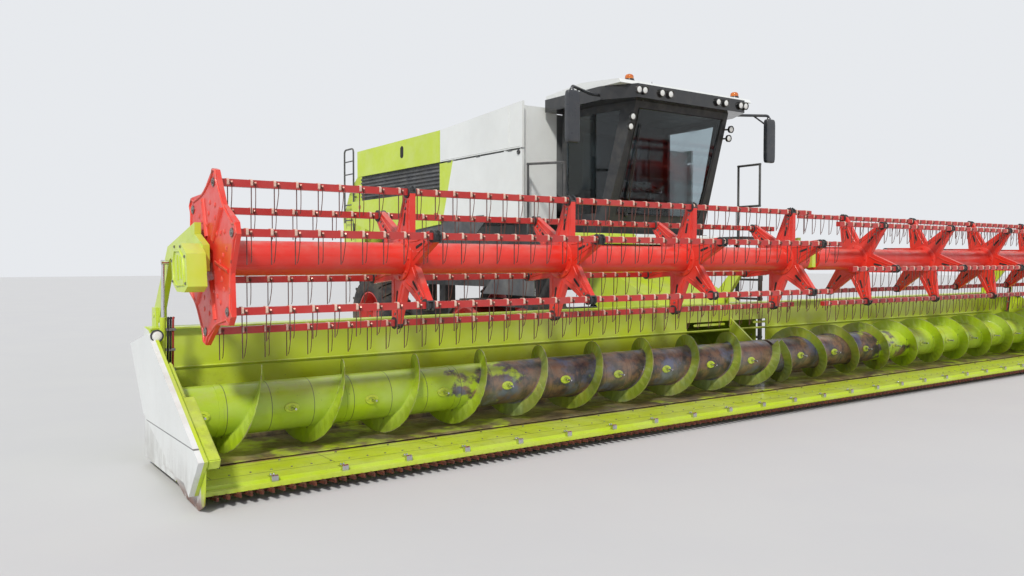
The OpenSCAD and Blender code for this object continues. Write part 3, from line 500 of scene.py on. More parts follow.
def table_tone(s):
    """Lime lip with its seam, then floor plates that straw has rubbed brown, with a yellow step."""
    sheet = 0.92
    back = back_of(s)
    sheet_no = s.math("FRACT", s.mul(s.add(s.x, 7.2), 1 / sheet))
    rubbed = s.ramp(s.noise(4.5, 5, 0.65, stretch=(0.3, 1, 1)), 0.36, 0.68)
    step = s.mul(s.within(back, 0.765, 0.028, 0.012), s.ramp(s.noise(5, 3, 0.6, shift=6.6), 0.38, 0.55))
    worn = s.blend(step, s.blend(rubbed, srgb(98, 76, 56), srgb(168, 138, 88)), srgb(196, 180, 74))
    edge = s.add(back, s.mul(s.sub(s.noise(7, 4, 0.65, shift=3.9), 0.5), 0.05))
    colour = s.blend(s.ramp(edge, 0.638, 0.652), LIME, worn)
    lines = s.most(s.within(back, 0.292, 0.0035, 0.002), s.within(back, 0.560, 0.002, 0.002),
                   s.mul(s.within(sheet_no, 0.5, 0.0028, 0.001), s.ramp(back, 0.28, 0.30)))
    return s.blend(s.mul(lines, 0.8), colour, srgb(38, 40, 20))


def wall_tone(s):
    """Lime back wall, with darker olive patches towards its foot that are painted shade as well as scuffs; the floor
    in front of it is rubbed bare.
    """
    floor = s.mul(s.ramp(s.z, 0.215, 0.18), s.ramp(s.noise(3.5, 4, 0.6), 0.32, 0.5))
    worn = s.blend(s.ramp(s.noise(5, 5, 0.65, shift=2.0), 0.4, 0.65), srgb(86, 68, 50), srgb(150, 128, 84))
    marks = s.noise(4, 6, 0.7, stretch=(0.5, 1, 1), shift=9.0)
    # painted shade mixed with scuffs: darker olive patches, stronger low on the wall
    scuff_and_shade = s.mul(s.ramp(marks, 0.56, 0.66), s.ramp(s.z, 0.9, 0.35), 0.55)
    return s.blend(scuff_and_shade, s.blend(floor, LIME, worn), srgb(110, 104, 58))


def low_dirt(s):
    """White that turns grey towards the ground."""
    low = s.mul(s.ramp(s.z, 0.42, 0.0, (0.0, 0.5)), s.ramp(s.noise(4, 5, 0.7), 0.35, 0.7))
    return s.blend(low, WHITE, WHITE_DIRTY)


def shield_tone(s):
    """White outside with a dark seam; lime on the inner face."""
    seam = s.within(s.z, 0.434, 0.0035, 0.0015)
    colour = s.blend(s.mul(seam, 0.85), low_dirt(s), srgb(48, 50, 50))
    return s.blend(s.ramp(s.size(s.x), SHIELD_X + 0.026, SHIELD_X + 0.024), colour, LIME)


def nose_tone(s):
    low = s.mul(s.ramp(s.z, 0.16, 0.02), s.ramp(s.noise(9, 5, 0.7), 0.30, 0.5))
    outside = s.mul(s.facing_out(), s.ramp(back_of(s), 0.0, 0.01))
    return s.blend(low, s.blend(outside, LIME, low_dirt(s)), RUST)


def side_tone(s):
    patches = s.ramp(s.noise(4, 5, 0.7), 0.35, 0.75, (0.0, 0.3))
    return s.blend(s.facing_out(), LIME, s.blend(patches, WHITE, WHITE_DIRTY))


def reel_tone(half):
    """Red with black bar bearings and dark spring steel tines, told apart by where they are, and with the bars
    painted a darker crimson as painted shade.
    """
    def tone(s):
        near_x = s.least(*(s.size(s.sub(s.x, x)) for x in half.spiders))
        gaps, tines = [], []
        for turn in turns(half):
            bar = on_reel(0, BAR_R, turn)
            dy, dz = s.sub(s.y, bar.y), s.sub(s.z, bar.z)
            gaps.append(s.length(dy, dz))
            hanging = s.mul(s.under(dz, -0.0265), s.math("GREATER_THAN", dz, -0.24))
            tines.append(s.mul(s.under(s.size(dy), 0.0042), hanging))
        gap = s.least(*gaps)
        bearing = s.mul(s.under(near_x, 0.0335), s.under(gap, CAP_R))
        step = s.math("FRACT", s.add(s.mul(s.sub(s.x, half.side * FIRST_TINE), 1 / TINE_PITCH), 0.5))
        tine = s.mul(s.most(*tines), s.under(s.size(s.sub(step, 0.5)), 0.024))
        dull = s.ramp(s.noise(1.7, 4, 0.6, shift=4.0), 0.35, 0.7, (0.0, 0.35))
        colour = s.blend(dull, RED, RED_DEEP)
        # painted shade: the bars are made a darker crimson all round
        colour = s.blend(s.mul(s.under(gap, 0.040), 0.62), colour, srgb(150, 20, 26))
        colour = s.blend(bearing, colour, srgb(38, 38, 40))
        return s.blend(tine, colour, srgb(92, 40, 32))
    return tone


def star_tone(s):
    scar = s.noise(7, 5, 0.7, stretch=(1, 1, 0.35), shift=1.2)
    colour = s.blend(s.ramp(scar, 0.35, 0.75, (0.0, 0.30)), RED, srgb(238, 96, 66))
    rub = s.mul(s.ramp(s.noise(16, 4, 0.7, shift=6.0), 0.60, 0.66), 0.7)
    return s.blend(rub, colour, srgb(120, 40, 30))


def lamp_tone(s):
    """A pale lens on the faces that look forwards, in a black housing."""
    return s.blend(s.ramp(s.normal(1), -0.6, -0.8), BLACK, srgb(206, 208, 204))


def make_glass(name, tint, rough=0.03):
    s = Shader(name, rough)
    s.set("Transmission Weight", 1.0)
    s.set("IOR", 1.45)
    film = s.mul(s.ramp(s.noise(3.5, 4, 0.6), 0.42, 0.75), 0.35)
    s.set("Roughness", s.ramp(film, 0.0, 0.35, (rough, rough + 0.10)))
    return s.finish(s.blend(film, tint, scaled(tint, 0.8)))


def make_knife():
    s = Shader("knife_rust", 0.75, 0.25)
    c = s.blend(s.ramp(s.noise(30, 5, 0.7), 0.35, 0.65), RUST_DARK, RUST)
    c = s.blend(s.ramp(s.noise(85, 3, 0.6, shift=3.0), 0.58, 0.70), c, srgb(150, 74, 44))
    c = s.blend(s.mul(s.edges(0.004), 0.45), c, srgb(136, 96, 76))
    s.raise_by(s.noise(110, 4, 0.7))
    return s.finish(c, 0.002)


def make_amber():
    s = Shader("amber_lens", 0.12, 0.0, 0.6)
    s.set("Transmission Weight", 0.35)
    c = s.blend(s.ramp(s.noise(40, 2, 0.5), 0.3, 0.7), srgb(244, 140, 20), srgb(214, 96, 8))
    s.raise_by(s.ramp(s.math("FRACT", s.mul(s.z, 90.0)), 0.2, 0.8))
    return s.finish(c, 0.001)


def make_fabric():
    s = Shader("seat_cloth", 0.9, sheen=0.3)
    weave = s.most(*(s.size(s.math("SINE", s.mul(v, 1500.0))) for v in (s.x, s.y, s.z)))
    c = s.blend(s.ramp(s.noise(60, 3, 0.6), 0.3, 0.7), srgb(46, 47, 50), srgb(74, 76, 80))
    s.raise_by(weave)
    return s.finish(c, 0.0006)


# Materials
lime = painted("lime_paint", LIME)
white = painted("white_paint", WHITE, rough=0.36, grime=0.28, chips=0.2, low=1.4)
striped = painted("striped_panel", side_stripe, rough=0.36, grime=0.22, chips=0.15, low=2.3)
red = painted("red_paint", RED, rough=0.38, chips=0.5, fade=0.03)
star_red = painted("star_red", star_tone, rough=0.42, chips=0.6, wear=0.6)
wheel_red = painted("wheel_red", srgb(206, 44, 36), rough=0.42, grime=0.75, low=1.2)
chassis = painted("chassis_paint", srgb(58, 60, 64), rough=0.5, coat=0.05, dust=0.5, grime=0.6, low=1.7)
housing = painted("housing_grey", srgb(104, 107, 110), rough=0.46, coat=0.08, dust=0.45, grime=0.5, low=2.0)
fender_grey = painted("fender_grey", CHARCOAL, rough=0.52, coat=0.05, dust=0.5, grime=0.35, low=2.2)
engine_grey = painted("engine_grey", srgb(84, 86, 88), rough=0.6, coat=0.0, dust=0.5, grime=0.6, low=3.0)
rail_black = painted("rail_black", srgb(42, 43, 46), rough=0.42, chips=0.4, dust=0.25, grime=0.2)
auger_worn = painted("auger_worn", auger_tone, rough=0.36, chips=0.5, wear=0.5, grime=0.25, low=0.6)
table_worn = painted("table_worn", table_tone, rough=0.42, chips=0.35, grime=0.0, dust=0.12)
# the back wall's paint holds painted shade low on the wall as well as wear
wall_worn_and_shaded = painted("wall_worn_and_shaded", wall_tone, rough=0.38, chips=0.3, grime=0.2, low=0.4, dust=0.2)
shield_worn = painted("shield_worn", shield_tone, rough=0.38, chips=0.25, grime=0.25, low=0.5)
nose_worn = painted("nose_worn", nose_tone, rough=0.38, chips=0.5, grime=0.3, low=0.4)
side_worn = painted("side_worn", side_tone, rough=0.38, chips=0.3, grime=0.3, low=0.5)
hood_lime = painted("hood_lime", LIME, rough=0.38, chips=0.15, low=2.2, dust=0.35)
apron_paint = painted("apron_paint", apron_tone, rough=0.38, grime=0.0)
lamp_paint = painted("lamp_housing", lamp_tone, rough=0.3, grime=0.0, chips=0.0)
reel_right_red, reel_left_red = (
    painted("reel_%s_red" % half.tag, reel_tone(half), rough=0.4, grime=0.0, fade=0.03) for half in HALVES)
track_rubber = rubber("track_rubber", srgb(34, 34, 36), srgb(118, 104, 84), low=0.7)
tyre_rubber = rubber("tyre_rubber", srgb(36, 36, 38), srgb(122, 108, 88), low=0.7)
# dark rubber used as painted shade in the spider and handle slots
slot_shade_black = rubber("slot_shade_black", srgb(24, 24, 26), srgb(70, 66, 60), low=0.1, grain=300)
hose_black = rubber("hose_black", srgb(22, 22, 24), srgb(66, 62, 56), low=0.1, grain=400)
hose_red = plastic("hose_red", srgb(150, 32, 28), rough=0.5)
hose_yellow = plastic("hose_yellow", srgb(206, 178, 50), rough=0.5)
dark_plastic = plastic("dark_plastic", srgb(44, 46, 49))
gloss_black = plastic("gloss_black", srgb(20, 21, 23), rough=0.22, grain=60, dust=0.12, coat=0.5)
mirror_black = plastic("mirror_black", srgb(40, 43, 49), rough=0.3, grain=90, dust=0.15, coat=0.3)
clip_plastic = plastic("clip_plastic", srgb(214, 176, 160), rough=0.45)
lens_white = plastic("lens_white", srgb(224, 226, 222), rough=0.12, grain=240, dust=0.05, coat=0.7)
tail_red = plastic("tail_red", srgb(170, 16, 14), rough=0.15, grain=200, dust=0.05, coat=0.6)
glass = make_glass("cab_glass", (0.34, 0.42, 0.45, 1.0))
mirror_glass = steel("mirror_glass", (0.72, 0.76, 0.80, 1), 0.05, rust=0.0, scratch=0.2)
bright_steel = steel("bright_steel", (0.62, 0.62, 0.63, 1), 0.24, rust=0.12)
chrome = steel("rod_chrome", (0.80, 0.81, 0.83, 1), 0.12, rust=0.03)
dull_steel = steel("dull_steel", (0.30, 0.29, 0.28, 1), 0.42, rust=0.45)
spring_steel = steel("spring_steel", (0.20, 0.09, 0.07, 1), 0.4, rust=0.4, metal=0.6)
knife_rust = make_knife()
amber = make_amber()
seat_cloth = make_fabric()

FINISH = (
    (lime, "feeder_house reel_arms reel_carriage reel_lift_barrels"),
    (white, "tank_sides cab_roof"),
    (striped, "side_door_right side_door_left"),
    (hood_lime, "engine_sides engine_hood lower_rear_panels rear_hood unloading_tube"),
    (chassis, "main_frame front_axle rear_axle knuckle_right knuckle_left body_frame lift_barrels"),
    (wheel_red, "track_frames rear_rim_right rear_rim_left"),
    (housing, "threshing_housing grain_tank tank_lid_right tank_lid_left"),
    (fender_grey, "bay_grilles straw_chopper fenders cab_skirt"),
    (engine_grey, "engine_block"),
    (rail_black, "platforms ladder"),
    (track_rubber, "track_belts"),
    (tyre_rubber, "rear_tyre_right rear_tyre_left"),
    (dark_plastic, "cab_shell control_console cab_door"),
    (gloss_black, "roof_fascia"),
    (mirror_black, "mirrors"),
    (glass, "cab_glass"),
    (seat_cloth, "operator_seat"),
    (lamp_paint, "work_lights"),
    (amber, "beacons"),
    (dull_steel, "tie_rod"),
    (chrome, "lift_rods reel_lift_rods"),
    (knife_rust, "knife"),
    (wall_worn_and_shaded, "header_frame"),
    (side_worn, "header_sides"),
    (table_worn, "table"),
    (nose_worn, "dividers"),
    (shield_worn, "end_shields"),
    (auger_worn, "auger_right auger_left"),
    (reel_right_red, "reel_right"),
    (reel_left_red, "reel_left"),
)
for material, names in FINISH:
    for name in names.split():
        for slot in nodes[name].material_slots:
            slot.material = material


# Camera: the photograph's place and angle, for an image of 1024 by 576
CAMERA_AT = at(-8.45, -5.70, 1.65)
LOOK = Vector((0.5797, 0.8148, 0.0))
FOCAL_PX = 856.0
HORIZON_PX = 261.0
IMAGE = (1024, 576)
SENSOR_MM = 36.0


def make_camera():
    data = bpy.data.cameras.new("camera")
    data.sensor_width = SENSOR_MM
    data.lens = SENSOR_MM * FOCAL_PX / IMAGE[0]
    data.clip_end = 300
    camera = place("camera", data)
    tilt = math.atan((IMAGE[1] / 2 - HORIZON_PX) / FOCAL_PX)
    forward = (LOOK.normalized() * math.cos(tilt) - Vector((0, 0, math.sin(tilt)))).normalized()
    turn = forward.to_track_quat("-Z", "Y").to_matrix().to_4x4()
    camera.matrix_world = Matrix.Translation(CAMERA_AT) @ turn
    bpy.context.scene.camera = camera
    bpy.context.scene.view_settings.view_transform = "Standard"


def make_floor(size=90):
    s = Shader("studio_floor", 0.85)
    s.finish(s.blend(s.ramp(s.noise(0.8, 4, 0.6), 0.3, 0.7), srgb(200, 200, 200), srgb(202, 202, 201)))
    data = bpy.data.meshes.new("floor")
    corners = [(-size, -size, 0), (size, -size, 0), (size, size, 0), (-size, size, 0)]
    data.from_pydata(corners, [], [(0, 1, 2, 3)])
    data.materials.append(s.mat)
    floor = place("floor", data)


def make_key():
    """A soft sun from the machine's right front."""
    key = bpy.data.lights.new("key", "SUN")
    key.energy = 2.7
    key.angle = math.radians(7)
    key.color = (1.0, 0.97, 0.92)
    lamp = place("key", key)
    lamp.matrix_world = Vector((0.50, 0.52, -0.69)).to_track_quat("-Z", "Y").to_matrix().to_4x4()


def make_world():
    """A pale sky of even light, and a plain grey one wherever the camera, glass or gloss sees it."""
    world = bpy.data.worlds.new("world")
    world.use_nodes = True
    tree = world.node_tree
    lit, seen = tree.nodes["Background"], tree.nodes.new("ShaderNodeBackground")
    for sky, colour, strength in ((lit, (0.87, 0.91, 1.0, 1), 0.62), (seen, (0.80, 0.82, 0.85, 1), 1.0)):
        sky.inputs["Color"].default_value = colour
        sky.inputs["Strength"].default_value = strength
    path = tree.nodes.new("ShaderNodeLightPath")
    either = path.outputs["Is Camera Ray"]
    for ray in ("Is Transmission Ray", "Is Glossy Ray"):
        most = tree.nodes.new("ShaderNodeMath")
        most.operation = "MAXIMUM"
        tree.links.new(either, most.inputs[0])
        tree.links.new(path.outputs[ray], most.inputs[1])
        either = most.outputs[0]
    mix = tree.nodes.new("ShaderNodeMixShader")
    for socket, value in zip(mix.inputs, (either, lit.outputs[0], seen.outputs[0])):
        tree.links.new(value, socket)
    tree.links.new(mix.outputs[0], tree.nodes["World Output"].inputs[0])
    bpy.context.scene.world = world


# Header
def knife_bits():
    """Smooth forged tips over the fingers, and knife sections between them."""
    pitch = 0.0762
    count = math.floor((2 * SLIDE_X - 0.1) / pitch)
    tips, blades = Mesh(), Mesh()
    for i in range(count):
        x = (i + 0.5 - count / 2) * pitch
        tips.turned(at(x, 0.112, 0.080), (0, -1, -0.14), [
            (0, 0.019), (0.045, 0.016), (0.10, 0.008), (0.113, 0.002)], 6)
        if i % 2 == 0:
            section = [(x - 0.034, y(0.10)), (x + 0.034, y(0.10)), (x + 0.012, y(0.028)), (x - 0.012, y(0.028))]
            blades.prism(section, 2, 0.0795, 0.0815)
    tips.make("finger_tips", knife_rust, "cutting_table", "knife_steel")
    blades.make("knife_sections", dull_steel, "cutting_table", "knife_steel")


def table_bits():
    """Bright hold-downs on the lip, and the screws of the floor plates."""
    half_row, clip_pitch, screw_pitch = 6.6, 0.53, 0.153
    hook = [(0.085, LIP_TOP), (0.085, 0.150), (0.097, 0.158), (0.128, 0.150), (0.185, 0.1375),
            (0.185, TABLE_TOP), (0.121, TABLE_TOP), (0.119, LIP_TOP)]
    clips, heads = Mesh(), Mesh()
    count = math.floor(2 * half_row / clip_pitch)
    for i in range(count + 1):
        x = (i - count / 2) * clip_pitch
        clips.plate(hook, x - 0.024, x + 0.024)
        clips.bolt(at(x - 0.010, 0.150, 0.146), (0, 0.25, 1), 0.008, 0.010)
        clips.bolt(at(x + 0.012, 0.150, 0.146), (0, 0.25, 1), 0.008, 0.010)
    clips.make("hold_downs", bright_steel, "cutting_table", "rod_steel", bevel=0.001)
    for i in range(int(2 * half_row / screw_pitch)):
        x = -half_row + i * screw_pitch
        heads.bolt(at(x, 0.345, TABLE_TOP), (0, 0, 1), 0.006, 0.004)
        if i % 3 == 0:
            heads.bolt(at(x, 0.60, TABLE_TOP), (0, 0, 1), 0.008, 0.005)
    heads.make("table_screws", dull_steel, "cutting_table", "rod_steel")


def wall_bits():
    """Bolt rows, pressed ribs and the stripper bar on the face of the header's back wall."""
    half_row, bolt_pitch, rib_pitch, rib_z = 6.62, 0.308, 1.11, 0.86
    bolts, ribs, strip = Mesh(), Mesh(), Mesh()
    for i in range(44):
        x = -half_row + i * bolt_pitch
        bolts.bolt(at(x, WALL_BACK, 1.02), (0, -1, 0), 0.009, 0.006)
        if i % 2:
            bolts.bolt(at(x, WALL_BACK, 0.70), (0, -1, 0), 0.008, 0.005)
    bolts.make("wall_bolts", dull_steel, "header", "rod_steel")
    for x in [k * rib_pitch for k in range(-5, 7)]:
        lozenge = [(x - 0.62, rib_z), (x - 0.60, rib_z - 0.015), (x - 0.06, rib_z - 0.015), (x - 0.04, rib_z),
                   (x - 0.06, rib_z + 0.015), (x - 0.60, rib_z + 0.015)]
        ribs.prism(lozenge, 1, y(WALL_BACK - 0.0045), y(WALL_BACK + 0.001))
    ribs.make("wall_ribs", lime, "header", "lime_paint", bevel=0.001)
    strip.plate([(1.474, 0.792), (1.482, 0.775), (1.5005, 0.775), (1.5005, 0.800), (1.480, 0.800)], -6.76, 6.76)
    strip.make("stripper_bar", lime, "header", "lime_paint", bevel=0.0015)


def auger_bits(half):
    """Oval guides where the fingers leave the tube, the fingers, weld beads and bands.

    All of it is laid out for the right half and mirrored at the end where the half is the left one."""
    guides, rods, beads, bands = Mesh(), Mesh(), Mesh(), Mesh()
    length = AUGER_END - AUGER_MID
    along = Vector((1, 0, 0))
    # each ring of a guide: its size, and its rise over the tube
    rings, sides = ((1.0, 0.0015), (0.94, 0.010), (0.55, 0.011), (0.45, 0.004)), 20
    guide_half = (0.062, 0.040)
    x = FLIGHT_PITCH / 4
    while x < length - 0.10:
        turn = math.radians(180 - 360 * x / FLIGHT_PITCH)
        out = Vector((0, -math.sin(turn), math.cos(turn)))
        across = out.cross(along)
        centre = at(x - AUGER_END, AUGER_BACK, AUGER_Z)
        verts = []
        for size, rise in rings:
            for k in range(sides):
                a = 2 * math.pi * k / sides
                u, v = math.cos(a) * guide_half[0] * size, math.sin(a) * guide_half[1] * size
                lift = math.sqrt((AUGER_TUBE_R + rise) ** 2 - v * v)
                verts.append(centre + along * u + across * v + out * lift)
        guides.skin(verts, len(rings), sides)
        for s in (-1, 1):
            guides.bolt(centre + along * 0.045 * s + out * (AUGER_TUBE_R + 0.009), out, 0.006, 0.005)
        rods.tube([centre + out * (AUGER_TUBE_R + 0.004), centre + out * (AUGER_TUBE_R + 0.092)], [0.0098, 0.0085])
        x += FLIGHT_PITCH / 2
    steps = math.ceil(length / FLIGHT_PITCH * 24)
    for face in (0, FLIGHT_T):
        path = []
        for i in range(steps + 1):
            d = i / steps * (length - FLIGHT_T)
            a = math.radians(360 * d / FLIGHT_PITCH)
            out = Vector((0, math.sin(a), math.cos(a)))
            path.append(at(d - AUGER_END + face, AUGER_BACK, AUGER_Z) + out * (AUGER_TUBE_R + 0.002))
        beads.tube(path, 0.0055, 5)
    rim = AUGER_TUBE_R + 0.0025
    for k in range(6):
        bands.turned(at(0.30 + 1.035 * k - AUGER_END, AUGER_BACK, AUGER_Z), along,
                     [(0, AUGER_TUBE_R), (0.001, rim), (0.039, rim), (0.04, AUGER_TUBE_R)], 48)
    for mesh in (guides, rods, beads, bands):
        mesh.verts = [(v[0] * -half.side, v[1], v[2]) for v in mesh.verts]
    body = "auger_" + half.tag
    guides.make("finger_guides_" + half.tag, lime, body, "auger_paint")
    rods.make("finger_rods_" + half.tag, bright_steel, body, "rod_steel")
    beads.make("flight_welds_" + half.tag, auger_worn, body, "auger_paint", smooth=60)
    bands.make("tube_bands_" + half.tag, auger_worn, body, "auger_paint")


# Reel
def reel_make(half, *rows):
    """Make pieces of one half of the reel; a row is the mesh, its name, material and smoothing angle."""
    for mesh, name, material, smooth in rows:
        mesh.make(name + "_" + half.tag, material, "reel_" + half.tag, "red_paint", smooth)


def reel_bits(half):
    """Spring tines with their coils and clips along each bar, bar bearings and spider bolts."""
    tines, clips, caps, bolts = Mesh(), Mesh(), Mesh(), Mesh()
    leg_r = 0.0032
    first = FIRST_TINE if half.side > 0 else -FIRST_TINE - TINE_GAPS * TINE_PITCH
    for i, turn in enumerate(turns(half)):
        bar, out = on_reel(0, BAR_R, turn), outwards(turn)
        by, bz = bar.y, bar.z
        low = bz - TINE_L + 0.030
        for k in range(TINE_GAPS + 1):
            x = first + k * TINE_PITCH
            lean = 0.010 * math.sin(k * 2.4 + i)
            leg = x + 0.021
            tines.tube([(leg, by - 0.029, bz - 0.006), (leg, by - 0.031, bz - 0.060),
                        (leg + lean * 0.4, by - 0.022, low + 0.085), (leg + lean * 0.9, by - 0.006, low + 0.022),
                        (leg + lean, by + 0.010, low + 0.006)], [leg_r] * 4 + [0.0022], 5)
            coil = [(x + 0.006 + t * 0.0011, math.pi * t / 3) for t in range(15)]
            tines.tube([(cx, by - 0.038 - 0.0085 * math.cos(b), bz + 0.001 + 0.0115 * math.sin(b))
                        for cx, b in coil], leg_r, 4)
            clips.prism([(by - 0.028, bz - 0.017), (by - 0.0335, bz - 0.010), (by - 0.0335, bz + 0.020),
                         (by - 0.020, bz + 0.031), (by + 0.016, bz + 0.031), (by + 0.024, bz + 0.0265),
                         (by - 0.0255, bz + 0.0265), (by - 0.0265, bz - 0.012)], 0, x - 0.014, x + 0.003)
        disc = [(by + CAP_R * math.cos(math.radians(d)), bz + CAP_R * math.sin(math.radians(d)))
                for d in range(0, 360, 20)]
        for s in half.spiders:
            caps.prism(disc, 0, s - 0.034, s - 0.022)
            caps.prism(disc, 0, s + 0.022, s + 0.034)
            for d in (-0.018, 0.018):
                caps.bolt(Vector((s + d, by, bz)) + out * 0.045, out, 0.007, 0.007)
    for s in half.spiders:
        for turn in turns(half):
            for r in (0.40, 0.455):
                for face in (-1, 1):
                    bolts.bolt(on_reel(s + 0.026 * face, r, turn), (face, 0, 0), 0.008, 0.006)
    reel_make(half, (tines, "tines", spring_steel, 35), (clips, "tine_clips", clip_plastic, 35),
              (caps, "bar_bearings", dark_plastic, 35), (bolts, "spider_bolts", dull_steel, 35))


def reel_flanges(half):
    """Flanges and their bolts where the reel's tube is joined at the spiders."""
    flange = Mesh()
    for s in half.spiders:
        for face in (-1, 1):
            flange.turned((s + face * 0.026, y(REEL_BACK), REEL_Z), (face, 0, 0),
                          [(0, 0.175), (0.008, 0.175), (0.010, 0.172), (0.010, 0.127)], 40)
            flange.ring_of((s + face * 0.036, y(REEL_BACK), REEL_Z), (face, 0, 0), 0.150, 8, 0.010, 0.008)
    reel_make(half, (flange, "tube_flanges", red, 35))


def star_bits(half):
    """Bar ends and pressed dimples on the outer face of an end star."""
    studs, dents = Mesh(), Mesh()
    face, out = STAR_FACE * half.side, (half.side, 0, 0)
    for a in turns(half):
        studs.turned(on_reel(face, BAR_R, a), out, [
            (0, 0.030), (0.005, 0.030), (0.008, 0.026), (0.008, 0.014), (0.013, 0.013), (0.014, 0.009)], 16)
        for r, aside in ((0.22, 0.10), (0.30, 0.08), (0.38, 0.06)):
            for off in (-aside, aside):
                dents.turned(on_reel(face, r, a, off), out,
                             [(0, 0.020), (0.003, 0.017), (0.0055, 0.011), (0.006, 0.003)], 12)
    reel_make(half, (studs, "star_studs", dull_steel, 35), (dents, "star_dimples", star_red, 80))


def star_rims(half):
    """The folded rim and ridges of an end star, and the ribs on both faces of the spiders, with a thin dark fill in
    the slots on both faces as painted shade.
    """
    rim, ribs, slot_shades = Mesh(), Mesh(), Mesh()
    face = STAR_FACE * half.side
    # corners as (radius, degrees from the bar, distance to its side)
    corners = ((0.612, 0, 0.033), (0.612, 0, -0.033), (0.55, 0, -0.055),
               (0.478, 26, 0), (0.478, 34, 0), (0.55, 60, 0.055))
    slot = ((0.27, -0.012), (0.36, -0.010), (0.37, 0.0), (0.36, 0.010), (0.27, 0.012), (0.26, 0.0))
    rim.tube([on_reel(face, r, a + d, off) for a in turns(half) for r, d, off in corners], 0.009, closed=True)
    for a in turns(half):
        rim.tube([on_reel(face, 0.16, a + 30), on_reel(face, 0.44, a + 30)], 0.010, flat=2.2)
    for s in half.spiders:
        for a in turns(half):
            for x in (s - 0.025, s + 0.025):
                for off in (-1, 1):
                    ribs.tube([on_reel(x, r, a, aside * off) for r, aside in
                               ((0.19, 0.075), (0.30, 0.046), (0.40, 0.034), (0.475, 0.030))], 0.0055, 6)
                # painted shade: a thin dark fill where each slot opens in the spider plate
                slot_shades.prism([on_reel(0, r, a, off).yz for r, off in slot], 0, x - 0.0012, x + 0.0012)
    reel_make(half, (rim, "star_rims", star_red, 60), (ribs, "spider_ribs", red, 60),
              (slot_shades, "spider_slot_shades", slot_shade_black, 35))


def shield_edge(back):
    """Height of the end shields' sloping front edge."""
    foot, slope = 0.4626, 0.5448
    return foot + slope * back


def end_bits():
    """Lamps and beams of the end shields, and the hoses clipped to the reel's lift cylinders."""
    lamps, lenses, black, ruby, clamps, beams = (Mesh() for _ in range(6))
    hose_x, beam_x = 6.795, 6.8785
    for s in (-1, 1):
        spot = at(s * 6.900, 1.095, 1.085)
        lamps.turned(spot, (0, -1, 0), [(-0.070, 0.018), (-0.055, 0.034), (-0.010, 0.046), (0.012, 0.048),
                                        (0.014, 0.042), (0.006, 0.038)])
        lamps.tube([spot + Vector((0, 0.05, -0.03)), spot + Vector((0, 0.07, -0.10))], 0.010)
        lenses.turned(spot, (0, -1, 0), [(0.004, 0.040), (0.009, 0.034), (0.012, 0.018), (0.0125, 0.002)])
        low, high = at(s * hose_x, 1.262, 0.74), at(s * hose_x, 1.215, 1.19)
        for n, mesh in enumerate((black, black, ruby)):
            shift = Vector((-s * 0.020 * n, -0.022 + 0.004 * n, 0))
            a, b = low + shift, high + shift
            mesh.tube(curve([a + Vector((0, 0.03, -0.02)), a, a.lerp(b, 0.5) + Vector((0, -0.008, 0)), b,
                             b + Vector((-s * 0.01, 0.02, 0.02))], 6), 0.0085)
        for t in (0.15, 0.5, 0.85):
            p = low.lerp(high, t)
            back = p.y - TIP_Y
            clamps.plate([(back - 0.034, p.z - 0.010), (back + 0.010, p.z - 0.010), (back + 0.010, p.z + 0.010),
                          (back - 0.034, p.z + 0.010)], s * 6.738, s * 6.812)
        # the table slides 0.1 m back past the side sheets and the auger, so the beam thins behind 0.48 m
        for front, end, inner in ((-0.135, 0.48, 6.795), (0.48, 0.86, 6.851)):
            low_front = max(front, -0.05)
            beam = [(front, shield_edge(front) - 0.022), (end, shield_edge(end) - 0.022),
                    (end, shield_edge(end) - 0.092), (low_front, shield_edge(low_front) - 0.092)]
            if front < 0:
                beam.append((-0.10, 0.300))
            beams.plate(beam, s * inner, s * beam_x)
    lamps.make("shield_lamps", dark_plastic, "cutting_table", "dark_plastic")
    lenses.make("shield_lamp_lenses", lens_white, "cutting_table", "lamp_glass", smooth=80)
    black.make("cylinder_hoses", hose_black, "reel_lift_barrels", "tyre_rubber", smooth=80)
    ruby.make("cylinder_return_hoses", hose_red, "reel_lift_barrels", "tyre_rubber", smooth=80)
    clamps.make("hose_clamps", dull_steel, "reel_lift_barrels", "rod_steel", bevel=0.002)
    beams.make("shield_beams", lime, "cutting_table", "lime_paint", bevel=0.008)


def cover_bits():
    """Pressed ribs and bolts on the reel's drive cover, on the machine's right."""
    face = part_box("reel_carriage")[0][0]
    cover, heads = Mesh(), Mesh()
    ring = [(0.22, 1.49), (0.25, 1.67), (0.33, 1.72), (0.46, 1.72), (0.50, 1.65), (0.49, 1.52), (0.41, 1.48)]
    cover.tube([at(face - 0.001, b, z) for b, z in ring], 0.008, closed=True)
    for low, high in (((0.30, 1.53), (0.33, 1.68)), ((0.38, 1.52), (0.40, 1.69))):
        cover.tube([at(face - 0.001, *low), at(face - 0.001, *high)], 0.006, 6)
    for b, z in ((0.195, 1.50), (0.215, 1.68), (0.32, 1.748), (0.47, 1.748), (0.535, 1.65), (0.52, 1.51)):
        heads.bolt(at(face, b, z), (-1, 0, 0), 0.008, 0.006)
    cover.make("drive_cover_ribs", lime, "reel_carriage", "lime_paint", smooth=60)
    heads.make("drive_cover_bolts", dull_steel, "reel_carriage", "rod_steel")


# Cab
def front_of_cab(z):
    """The windscreen leans forwards from its foot to the roof."""
    foot_back, foot_z, lean = 2.79, 2.02, 0.54
    return foot_back - lean * (z - foot_z) / (CAB_TOP - foot_z)


def on_screen(x, z, off):
    """A place in front of the windscreen."""
    return at(x, front_of_cab(z) - off, z)


